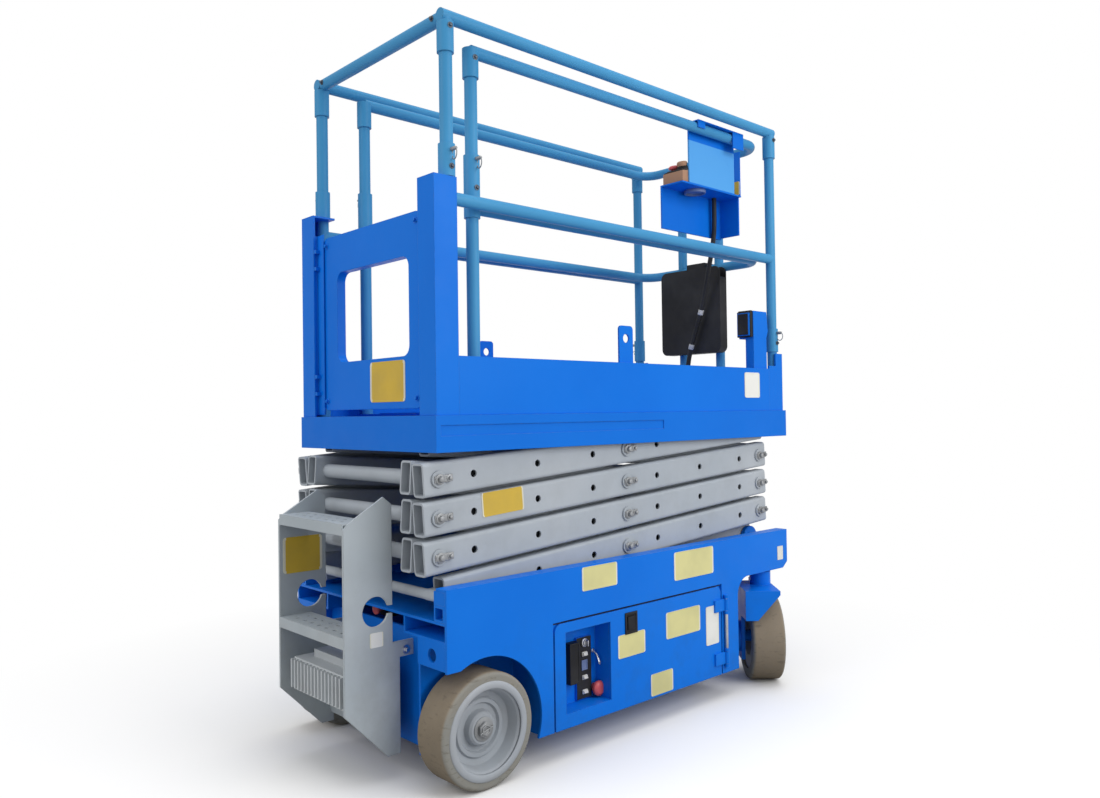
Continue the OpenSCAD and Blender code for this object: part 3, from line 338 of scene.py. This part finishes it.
def finish_nodes():
    for name, node in NODES.items():
        chosen = BLUE
        for word, material in FINISHES.items():
            if word in name:
                chosen = material
        for slot in node.material_slots:
            slot.material = chosen


# Making a piece: it starts at the origin with its outer side up, and is then set on its face. Metres

def deselect():
    bpy.ops.object.select_all(action="DESELECT")


def take(*pieces):
    deselect()
    for piece in pieces:
        piece.select_set(True)
    bpy.context.view_layer.objects.active = pieces[0]


def drop(*models):
    """Removes models once their copies are in place."""
    for model in models:
        bpy.data.objects.remove(model)


def pick_faces(piece, test):
    """Leaves the piece in edit mode with only the faces that pass the test selected."""
    take(piece)
    bpy.ops.object.mode_set(mode="EDIT")
    bpy.ops.mesh.select_mode(type="FACE")
    bpy.ops.mesh.select_all(action="DESELECT")
    bpy.ops.object.mode_set(mode="OBJECT")
    for face in piece.data.polygons:
        face.select = test(face.center, face.normal)
    bpy.ops.object.mode_set(mode="EDIT")


def upper(centre, normal):
    return normal.z > 0.9


def both_ends(centre, normal):
    return abs(normal.z) > 0.9


def done():
    bpy.ops.object.mode_set(mode="OBJECT")


def inset(rim):
    bpy.ops.mesh.inset(thickness=rim)


def pull(rise, x=0.0, y=0.0):
    """Draws the picked faces out, with walls behind them."""
    bpy.ops.mesh.extrude_region_move(TRANSFORM_OT_translate={"value": (x, y, rise)})


def shift(rise):
    bpy.ops.transform.translate(value=(0, 0, rise))


def tip(angle, axis, about):
    bpy.ops.transform.rotate(value=angle, orient_axis=axis, center_override=about)


def widen(grow):
    bpy.ops.transform.resize(value=(grow, grow, 1))


def step(piece, rim, rise):
    """Raises or sinks the upper face inside a rim, with an upright wall."""
    pick_faces(piece, upper)
    inset(rim)
    pull(rise)
    done()
    return piece


def slope(piece, rim, rise):
    """Raises or sinks the upper face inside a rim, with a sloped wall."""
    pick_faces(piece, upper)
    inset(rim)
    shift(rise)
    done()
    return piece


def turned(piece, steps):
    """Builds up a turned shape: at each step the upper face rises and then grows or shrinks."""
    pick_faces(piece, upper)
    for rise, grow in steps:
        pull(rise)
        widen(grow)
    done()
    return piece


def rimmed_ends(piece, rim):
    pick_faces(piece, both_ends)
    inset(rim)
    done()
    return piece


def block(width, height, depth):
    deselect()
    bpy.ops.mesh.primitive_cube_add(size=1, location=(0, 0, depth / 2))
    piece = bpy.context.object
    piece.scale = (width, height, depth)
    bpy.ops.object.transform_apply(location=True, rotation=False, scale=True)
    return piece


def disc(radius, depth, sides=32, base=0.0):
    deselect()
    middle = (0, 0, base + depth / 2)
    bpy.ops.mesh.primitive_cylinder_add(vertices=sides, radius=radius, depth=depth, location=middle)
    bpy.ops.object.transform_apply(location=True, rotation=False, scale=False)
    return bpy.context.object


def torus(radius, thickness, around, across):
    deselect()
    bpy.ops.mesh.primitive_torus_add(major_radius=radius, minor_radius=thickness,
                                     major_segments=around, minor_segments=across)
    return bpy.context.object


def soften(piece, width, segments=2):
    """Breaks the sharp edges and smooths the rest."""
    take(piece)
    bevel = piece.modifiers.new("broken_edges", "BEVEL")
    bevel.width = width
    bevel.segments = segments
    bevel.limit_method = "ANGLE"
    bevel.angle_limit = math.radians(35)
    bpy.ops.object.modifier_apply(modifier=bevel.name)
    bpy.ops.object.shade_smooth_by_angle(angle=math.radians(40))
    return piece


def join(*pieces):
    take(*pieces)
    if len(pieces) > 1:
        bpy.ops.object.join()
    return bpy.context.object


def copy_of(model):
    """A copy with its own mesh."""
    piece = model.copy()
    piece.data = model.data.copy()
    scene.collection.objects.link(piece)
    return piece


def turn_to(piece, place, out, up=None):
    """Sets a piece on a face: its upper side looks along out, its own Y along up."""
    z = Vector(out).normalized()
    y = Vector(up or (TOP if abs(z.z) < 0.9 else ACROSS))
    x = y.cross(z).normalized()
    piece.matrix_world = Matrix.Translation(place) @ Matrix((x, z.cross(x), z)).transposed().to_4x4()
    take(piece)
    bpy.ops.object.transform_apply(location=True, rotation=True, scale=True)
    return piece


def coat(piece, *materials):
    piece.data.materials.clear()
    for material in materials:
        piece.data.materials.append(material)
    return piece


def finish_piece(piece, name, body):
    piece.name = name
    piece.data.name = name
    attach(piece, body)
    return piece


def mount(piece, name, body, *spot):
    """Sets a piece on its spot, a place with its out and up, and on its body."""
    return finish_piece(turn_to(piece, *spot), name, body)


def spread(model, name, body, spots):
    """Copies a model to each spot, as one piece on a body."""
    copies = [turn_to(copy_of(model), *spot) for spot in spots]
    return finish_piece(join(*copies), name, body)


# Models

def bolt_model(across):
    """Hexagon head on a washer."""
    washer_depth = across * 0.15
    washer = soften(disc(across * 0.95, washer_depth, 24), across * 0.04)
    head = slope(disc(across * 0.577, across * 0.6, 6, washer_depth), across * 0.1, across * 0.07)
    soften(head, across * 0.03)
    return coat(join(washer, head), STEEL)


def lock_pin_model():
    """Pull pin with a split ring through its head."""
    stem = soften(step(disc(0.0055, 0.016, 20), 0.0012, 0.004), 0.0006)
    ring = torus(0.015, 0.0016, 40, 10)
    turn_to(ring, (0, -0.0135, 0.0125), (1, 0, 0.25), ACROSS)
    bpy.ops.object.shade_smooth()
    return coat(join(stem, ring), PIN_GREY)


def keeper_model():
    """Keeper on an arm pin: a rounded bar under two bolt heads, one on the pin and one beside it."""
    thick = 0.004
    bar = turn_to(soften(block(0.058, 0.020, thick), 0.0045, 3), (0.013, 0, 0), TOP)
    heads = [turn_to(bolt_model(across), (x, 0, thick), TOP) for across, x in ((0.015, 0), (0.010, 0.031))]
    return coat(join(bar, *heads), PIN_GREY)


def wheel_nut_model():
    """Castle nut on a stepped washer, with its split pin."""
    washer_depth = 0.003
    washer = soften(disc(0.032, washer_depth, 40), 0.001)
    nut = disc(0.022, 0.009, 6, washer_depth)
    pick_faces(nut, upper)
    for rim, rise in ((0.005, 0.004), (0.004, -0.003)):
        inset(rim)
        pull(rise)
    done()
    soften(nut, 0.0008)
    split = disc(0.002, 0.044, 10, -0.022)
    turn_to(split, (0, 0, 0.0140), (1, 0.3, 0))
    pick_faces(split, lambda centre, normal: centre.x > 0.02)
    pull(-0.006, -0.002, 0.001)
    done()
    soften(split, 0.0006)
    return coat(join(washer, nut, split), PIN_GREY)


def rim_ring_model():
    """Rolled flange of a rim, flat where it lies on the tyre."""
    ring = torus(0.1195, 0.0105, 72, 14)
    pick_faces(ring, lambda centre, normal: True)
    bpy.ops.transform.resize(value=(1, 1, 0.42))
    done()
    pick_faces(ring, lambda centre, normal: normal.z < -0.3)
    bpy.ops.transform.resize(value=(1, 1, 0.3), center_override=(0, 0, 0))
    done()
    take(ring)
    bpy.ops.object.shade_smooth()
    return coat(ring, RIM_GREY)


def knob(radius, depth, crown):
    """Turned knob: a stem, a flared head and a crowned face."""
    piece = disc(radius * 0.55, depth * 0.5, 32)
    pick_faces(piece, upper)
    pull(depth * 0.1)
    widen(1.8)
    pull(depth * 0.3)
    inset(radius * 0.35)
    shift(crown)
    done()
    return soften(piece, radius * 0.1, 3)


def key_switch_model():
    """Ring with the bow of a key standing in it."""
    ring = step(disc(0.013, 0.006, 32), 0.004, 0.004)
    bow = turn_to(block(0.005, 0.018, 0.012), (0, 0, 0.008), TOP)
    return coat(join(soften(ring, 0.001), soften(bow, 0.0015)), STEEL)


def rocker_model():
    """Rocker switch, tipped in its frame."""
    piece = block(0.020, 0.013, 0.004)
    pick_faces(piece, upper)
    inset(0.002)
    pull(0.005)
    tip(0.3, "X", (0, 0, 0.006))
    done()
    return coat(soften(piece, 0.0008), PALE)


def lever_model():
    """Toggle lever that hangs from a hexagon nut and ends in a thick tip."""
    piece = disc(0.007, 0.004, 6)
    pick_faces(piece, upper)
    inset(0.003)
    pull(0.016, y=-0.010)
    pull(0.012, y=-0.022)
    bpy.ops.transform.resize(value=(1.7, 1.7, 1.7))
    done()
    return coat(soften(piece, 0.0012, 3), STEEL)


def console_model(length, width, height, rim, rise, material):
    """Housing with a raised lid, tipped towards the rear."""
    piece = block(length, width, height)
    pick_faces(piece, upper)
    tip(0.18, "Y", (-length / 2, 0, height))
    inset(rim)
    pull(rise)
    done()
    return coat(soften(piece, 0.004, 3), material)


# Plates, bolts and pins

FOIL_DEPTH, FIELD_SUNK = 0.0012, 0.0003


def label(name, body, place, out, width, height, field, up=None):
    """Blank plate: rounded foil with a paler rim pressed round its field."""
    deselect()
    bpy.ops.mesh.primitive_plane_add(size=1)
    piece = bpy.context.object
    piece.scale = (width, height, 1)
    bpy.ops.object.transform_apply(location=False, rotation=False, scale=True)
    bpy.ops.object.mode_set(mode="EDIT")
    bpy.ops.mesh.select_all(action="SELECT")
    bpy.ops.mesh.bevel(affect="VERTICES", offset=min(width, height) * 0.09, segments=4)
    pull(FOIL_DEPTH)
    inset(min(width, height) * 0.07)
    shift(-FIELD_SUNK)
    bpy.ops.mesh.select_all(action="SELECT")
    bpy.ops.mesh.normals_make_consistent(inside=False)
    done()
    coat(piece, LABEL_RIM, field)
    for face in piece.data.polygons:
        face.material_index = int(face.normal.z > 0.9 and abs(face.center.x) < width * 0.2)
    return mount(piece, name, body, place, out, up)


def add_labels():
    spots = (  # name, body, rear and front end, face, lower and upper edge, colour of the field
        ("band_plate_rear", "chassis", 485, 634, DOOR_FACE, 464, 533, CREAM),
        ("band_plate_front", "chassis", 904, 1111, DOOR_FACE, 436, 527, CREAM),
        ("door_plate_latch", "control_tray", 634, 757, DOOR_FACE, 238, 308, CREAM),
        ("door_plate_upper", "control_tray", 859, 1034, DOOR_FACE, 256, 340, CREAM),
        ("door_plate_tall", "control_tray", 1066, 1136, DOOR_FACE, 196, 325, WHITE),
        ("door_plate_lower", "control_tray", 782, 889, DOOR_FACE, 92, 160, CREAM),
        ("toe_plate", "platform", 1370, 1464, TOE_FACE, 1030, 1122, WHITE),
        ("ladder_plate", "chassis", -92, -52, LADDER_FACE, 369, 408, WHITE),
        ("nose_plate", "chassis", 1500, 1536, DOOR_FACE, 430, 480, WHITE),
    )
    for name, body, rear, front, face, low, high, field in spots:
        label(name, body, at((rear + front) / 2, -face, (low + high) / 2), RIGHT,
              (front - rear) / 1000, (high - low) / 1000, field)
    label("ladder_inner_plate", "chassis", at(-96, 177, 581), RIGHT, 0.124, 0.105, YELLOW)
    label("arm_plate", "outer_arm_3", at(241, -340, 741), RIGHT, 0.150, 0.066, YELLOW, ARM_UP)
    label("gate_plate", "gate", at(GATE_FACE_X, -98, 1079), REAR, 0.18, 0.115, YELLOW)


def add_bolts():
    small, middle = bolt_model(0.010), bolt_model(0.013)
    dark = coat(bolt_model(0.0085), DARK_ZINC)
    rear_rail = [(at(48, y, 2045), REAR) for y in (-300, 300)]
    spread(dark, "rail_bolts", "platform",
           both_sides(POST_FACE, (REAR_POST_X, 2014), (FRONT_POST_X, 2014), (REAR_POST_X, 1640), (FRONT_POST_X, 1238))
           + rear_rail)
    spread(dark, "extension_bolts", "extension",
           both_sides(EXTENSION_POST_FACE, (EXTENSION_POST_X, 1977), (EXTENSION_POST_X, 1613)))
    spread(middle, "ladder_bolts", "chassis", both_sides(LADDER_FACE, (20, 347)))
    coat(small, BLUE)
    spread(small, "gate_screws", "gate",
           [(at(GATE_FACE_X, y, z), REAR) for y in (-245, 240) for z in (1030, 1510)])
    drop(small, middle, dark)


def add_lock_pins():
    model = lock_pin_model()
    spread(model, "rail_lock_pins", "platform",
           both_sides(POST_FACE, (REAR_POST_X, 1684)) + both_sides(POST_FACE, (FRONT_POST_X, 1276)))
    spread(model, "extension_lock_pins", "extension", both_sides(EXTENSION_POST_FACE, (EXTENSION_POST_X, 1693)))
    drop(model)


def add_wheel_nuts():
    """A nut and a rim flange on each wheel, at their distances out from the wheel's middle."""
    nut, ring = wheel_nut_model(), rim_ring_model()
    for end, x, turn in (("rear", REAR_AXLE_X, 0.0), ("front", FRONT_AXLE_X, STEER_SHOWN)):
        for name, side in (("right", -1), ("left", 1)):
            out = Vector((-math.sin(turn) * side, math.cos(turn) * side, 0))
            middle = at(x, side * WHEEL_Y, AXLE_Z)
            for kind, model, reach in (("wheel_nut", nut, 0.0316), ("rim_ring", ring, 0.0565)):
                mount(copy_of(model), f"{kind}_{end}_{name}", f"wheel_{end}_{name}", middle + out * reach, out)
    drop(nut, ring)


def add_arm_pins():
    """Keepers on the heads of the middle, rear and front pins, which turn with the inner arms."""
    model = keeper_model()
    for level in range(1, LEVELS + 1):
        low = ARM_BASE_Z + LEVEL_RISE * level
        pins = [(ARM_MIDDLE_X, low + LEVEL_RISE / 2)]
        if level < LEVELS:
            pins.append((ARM_REAR_X, low + LEVEL_RISE))
        if level > 1:
            pins.append((ARM_FRONT_X, low))
        spots = [(*spot, ARM_UP) for pin in pins for spot in both_sides(ARM_FACE, pin)]
        spread(model, f"arm_keepers_{level}", f"inner_arm_{level}", spots)
    drop(model)


# Doors

SWITCH_X, SWITCH_Y, PANEL_Y, RECESS_Y = 545, -343, -342, -334


def add_door_controls():
    """Ground controls in the recess of the right door."""
    tray = "control_tray"
    mount(coat(knob(0.023, 0.030, 0.006), RED), "ground_stop", tray, at(592, RECESS_Y, 152), RIGHT)
    mount(key_switch_model(), "key_switch", tray, at(SWITCH_X, SWITCH_Y, 296), RIGHT)
    rocker = rocker_model()
    spread(rocker, "rocker_switches", tray, [(at(SWITCH_X, SWITCH_Y, z), RIGHT) for z in (262, 193, 150)])
    drop(rocker)
    window = coat(soften(step(block(0.024, 0.030, 0.003), 0.003, -0.0015), 0.0005), GREY)
    mount(window, "hour_window", tray, at(SWITCH_X, SWITCH_Y, 229), RIGHT)
    panel = coat(soften(slope(block(0.060, 0.182, 0.0015), 0.002, -0.0004), 0.0004), BLACK)
    mount(panel, "switch_face", tray, at(SWITCH_X, PANEL_Y, 221), RIGHT)
    meter = coat(soften(step(block(0.040, 0.120, 0.026), 0.005, -0.002), 0.002, 3), BLACK)
    mount(meter, "meter_cover", tray, at(491, -335, 246), RIGHT)
    mount(lever_model(), "lift_toggle", tray, at(590, RECESS_Y, 262), RIGHT)


def add_door_latch():
    """Paddle in a sunk plate, on each door."""
    plate = soften(step(block(0.055, 0.066, 0.004), 0.007, -0.003), 0.0015)
    paddle = block(0.034, 0.040, 0.005)
    pick_faces(paddle, upper)
    inset(0.005)
    tip(0.12, "X", (0, 0, 0.005))
    done()
    soften(paddle, 0.001)
    for side, body, out, name in ((-1, "control_tray", RIGHT, "near"), (1, "battery_tray", LEFT, "far")):
        latch = coat(join(copy_of(plate), copy_of(paddle)), BLACK)
        mount(latch, f"door_latch_{name}", body, at(693, side * DOOR_FACE, 339), out)
    drop(plate, paddle)


def add_hinge_rods():
    for side, body, name in ((-1, "control_tray", "near"), (1, "battery_tray", "far")):
        rod = coat(soften(rimmed_ends(disc(0.006, 0.24, 24), 0.0015), 0.0008), STEEL)
        mount(rod, f"door_hinge_rod_{name}", body, at(1170, side * 408, 110), TOP)


def add_door_gap_shade():
    """Black strip behind the upper edge of each door, as painted shade for the shadowed gap there, and a plate behind
    each of its round corners.
    """
    # Painted shade: a black strip where the gap above each door is in shadow.
    gap_shade_strip = coat(soften(step(block(0.788, 0.0145, 0.009), 0.003, -0.003), 0.001), GAP_SHADE_BLACK)
    spread(gap_shade_strip, "door_gap_shade_strips", "chassis", both_sides(384.5, (762, 391.7)))
    gusset = coat(soften(slope(block(0.042, 0.042, 0.005), 0.002, 0.0006), 0.0008), BLUE)
    spread(gusset, "door_gussets", "chassis", both_sides(386, (384, 377)) + both_sides(386, (1141, 377)))
    drop(gap_shade_strip, gusset)


# Chassis, gate and platform

def add_release_valve():
    """Valve block under the deck, its red cap seen through the ladder."""
    y, z = 16, 420.5
    body = coat(soften(step(block(0.050, 0.050, 0.060), 0.010, 0.010), 0.002), BLACK)
    mount(body, "release_valve", "chassis", at(140, y, z), REAR)
    mount(coat(knob(0.017, 0.024, 0.003), RED), "release_cap", "chassis", at(70, y, z), REAR)


def add_hinge_cover():
    """Folded strip over the gap between the gate and its hinge post."""
    width, fold = 0.038, 0.004
    strip = block(width, 0.560, 0.004)
    pick_faces(strip, lambda centre, normal: normal.x < -0.9)
    pull(0, x=-fold)
    done()
    pick_faces(strip, lambda centre, normal: normal.z > 0.9 and centre.x < -width / 2)
    pull(0.011)
    done()
    coat(soften(strip, 0.001), BLUE)
    mount(strip, "gate_hinge_cover", "platform", at(24, 270, 1268), REAR)


def add_outlet_cover():
    """Sprung cover of the outlet with its hinge, and the gland under the box."""
    cover = block(0.060, 0.094, 0.016)
    pick_faces(cover, upper)
    inset(0.008)
    pull(0.008)
    inset(0.006)
    shift(-0.002)
    done()
    soften(cover, 0.002, 3)
    hinge = disc(0.005, 0.056, 20, -0.028)
    turn_to(hinge, (0, 0.047, 0.006), (1, 0, 0), ACROSS)
    pick_faces(hinge, lambda centre, normal: abs(normal.x) > 0.9)
    inset(0.0015)
    done()
    soften(hinge, 0.0006)
    cover = coat(join(cover, hinge), BLACK)
    mount(cover, "outlet_cover", "platform", at(1443, -321, 1302), REAR)
    gland = coat(knob(0.012, 0.014, 0.002), BLACK)
    mount(gland, "outlet_gland", "platform", at(1490, -303, 1250), UNDER, ACROSS)


# Sliding extension

CONSOLE_Y, STICK_Y, STOP_Y, LID_Z = -211, -232, -190, 1852
STICK_LEAN, LID_LEAN = (-0.2, 0, 1), (-0.17, 0, 1)


def add_platform_controls():
    """Controls on the cradle's shelf, the socket under it and the plate at its front end."""
    slide = "extension"
    cover = console_model(0.142, 0.086, 0.045, 0.008, 0.004, BLACK)
    mount(cover, "console_cover", slide, at(1236, CONSOLE_Y, SHELF_TOP_Z), TOP)
    folds = ((0.003, 0.82), (0.002, 1.08), (0.003, 0.78), (0.002, 1.08), (0.003, 0.7))
    boot = coat(soften(turned(disc(0.026, 0.006, 32), folds), 0.001), BLACK)
    swell = ((0.006, 1.2), (0.008, 1.0), (0.005, 0.75))
    grip = coat(soften(turned(disc(0.016, 0.006, 24, 0.010), swell), 0.003, 3), BROWN)
    end = console_model(0.046, 0.091, 0.040, 0.006, 0.003, BROWN)
    mount(end, "console_end", slide, at(1186, CONSOLE_Y, SHELF_TOP_Z), TOP)
    mount(boot, "joystick_boot", slide, at(1196, STICK_Y, LID_Z), STICK_LEAN, ACROSS)
    mount(grip, "joystick_grip", slide, at(1196, STICK_Y, LID_Z), STICK_LEAN, ACROSS)
    stop = coat(knob(0.020, 0.026, 0.005), RED)
    mount(stop, "platform_stop", slide, at(1200, STOP_Y, LID_Z), STICK_LEAN, ACROSS)
    toggle = coat(knob(0.006, 0.018, 0.002), STEEL)
    spread(toggle, "platform_toggles", slide,
           [(at(x, y, z), LID_LEAN, ACROSS) for y in (STICK_Y, STOP_Y) for x, z in ((1240, 1862), (1266, 1867))])
    drop(toggle)
    socket = coat(soften(step(disc(0.040, 0.012, 48), 0.008, -0.006), 0.0012), GREY)
    mount(socket, "control_socket", slide, at(1290, CONSOLE_Y, SHELF_LOW_Z), UNDER, ACROSS)
    wing = block(0.095, 0.170, 0.005)
    pick_faces(wing, lambda centre, normal: normal.y > 0.9)
    bpy.ops.transform.resize(value=(0.8, 1, 1), center_override=(0.0475, 0.085, 0.0025))
    done()
    coat(soften(wing, 0.001), BLUE)
    mount(wing, "cradle_wing", slide, at(1509, -214, 1891), REAR)
    label("cradle_plate", slide, at(1504, -232, 1836), REAR, 0.056, 0.052, YELLOW)


def run_cable():
    """Lead from the control cradle down to the deck, laid over the CAD route."""
    route = (
        (1442, -185, 1800), (1442, -185, 1772), (1442, -185, 1740), (1442, -184.5, 1705), (1442.5, -183, 1675),
        (1445, -177, 1645), (1450, -167, 1612), (1457, -153, 1575), (1465, -137, 1535), (1473, -121, 1495),
        (1481, -105, 1455), (1488, -90, 1415), (1493, -74, 1375), (1495.5, -56, 1330), (1496, -38, 1285),
        (1496, -22, 1240), (1496, -9, 1195), (1496, -2, 1150), (1496, 0, 1105), (1496, 0, 1060),
        (1496, 0, 1020), (1496, 0, 990),
    )
    deselect()
    bpy.ops.curve.primitive_bezier_curve_add()
    cable = bpy.context.object
    curve = cable.data
    curve.dimensions = "3D"
    curve.splines.clear()
    spline = curve.splines.new("NURBS")
    spline.points.add(len(route) - 1)
    for point, spot in zip(spline.points, route):
        point.co = (*at(*spot), 1)
    spline.order_u = 4
    spline.use_endpoint_u = True
    curve.bevel_depth = 0.009
    curve.bevel_resolution = 5
    coat(cable, CABLE)
    finish_piece(cable, "control_lead", "extension")
    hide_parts("control_cable")


def add_lead_tapes():
    """Wraps of pale tape round the lead, each with a folded end."""
    band = soften(rimmed_ends(disc(0.0105, 0.020, 28, -0.010), 0.0012), 0.0008)
    end = soften(block(0.006, 0.014, 0.002), 0.0006)
    turn_to(end, (0.0095, 0, 0), (1, 0.2, 0))
    tape = coat(join(band, end), PALE)
    spread(tape, "lead_tapes", "extension",
           [(at(1493, -74, 1375), (7.5, 34, -85), ACROSS), (at(1496, -22, 1241), (0, 29, -90), ACROSS)])
    drop(tape)


def dress():
    run_cable()
    add_lead_tapes()
    add_labels()
    add_bolts()
    add_lock_pins()
    add_wheel_nuts()
    add_door_controls()
    add_door_latch()
    add_hinge_rods()
    add_hinge_cover()
    add_door_gap_shade()
    add_release_valve()
    add_outlet_cover()
    add_platform_controls()
    add_arm_pins()


# Stage: pale floor that fades to white, soft lights

FLOOR_SIZE, FADE_START, FADE_END = 24, 0.9, 2.2
FLOOR_SEEN, FLOOR_BOUNCED = (0.9, 0.9, 0.9), (0.42, 0.42, 0.42)
WORLD_LIGHT, WORLD_SEEN = 0.55, 1.0


def lay_floor():
    deselect()
    bpy.ops.mesh.primitive_plane_add(size=FLOOR_SIZE)
    floor = bpy.context.object
    floor.name = "floor"
    f = Finish("floor_white")
    f.set(Roughness=0.9, Specular_IOR_Level=0.1)
    reach = f.node("VectorMath", operation="LENGTH")
    f.link(f.place, reach.inputs[0])
    far = f.ramp(reach.outputs["Value"], FADE_START, FADE_END)
    white = f.node("Emission")
    rays = f.node("LightPath")
    f.drive(f.mix(rays.outputs["Is Camera Ray"], FLOOR_BOUNCED, FLOOR_SEEN), "Base Color")
    seen = f.node("Math", operation="MAXIMUM")
    f.link(rays.outputs["Is Camera Ray"], seen.inputs[0])
    f.link(rays.outputs["Is Glossy Ray"], seen.inputs[1])
    blend = f.node("MixShader")
    f.link(f.times(far, seen.outputs[0]), blend.inputs[0])
    f.link(f.shader.outputs[0], blend.inputs[1])
    f.link(white.outputs[0], blend.inputs[2])
    f.link(blend.outputs[0], f.tree.nodes["Material Output"].inputs["Surface"])
    coat(floor, f.material)


def light_world():
    world = bpy.data.worlds.new("white_room")
    scene.world = world
    world.use_nodes = True
    tree = world.node_tree
    back = tree.nodes["Background"]
    back.inputs["Color"].default_value = (1, 1, 1, 1)
    rays = tree.nodes.new("ShaderNodeLightPath")
    level = tree.nodes.new("ShaderNodeMapRange")
    level.inputs["To Min"].default_value = WORLD_LIGHT
    level.inputs["To Max"].default_value = WORLD_SEEN
    tree.links.new(rays.outputs["Is Camera Ray"], level.inputs["Value"])
    tree.links.new(level.outputs["Result"], back.inputs["Strength"])


def add_light(kind, name, place, target, energy):
    bpy.ops.object.light_add(type=kind, location=place)
    lamp = bpy.context.object
    lamp.name = name
    lamp.data.energy = energy
    lamp.rotation_euler = (Vector(target) - Vector(place)).to_track_quat("-Z", "Y").to_euler()
    return lamp.data


def add_softbox(name, place, size, watts):
    add_light("AREA", name, place, (0, 0, 1.0), watts).size = size


def add_sky(name, place, strength, spread_angle):
    """Even light from overhead, the same at any height of the platform."""
    add_light("SUN", name, place, (0, 0, 1.0), strength).angle = math.radians(spread_angle)


place_camera()
finish_nodes()
dress()
lay_floor()
light_world()
add_softbox("side_softbox", (0.8, -4.2, 2.6), 3.0, 105)
add_softbox("rear_softbox", (-4.0, 0.6, 3.0), 2.5, 45)
add_sky("top_light", (0.4, -0.4, 4.6), 1.15, 50)
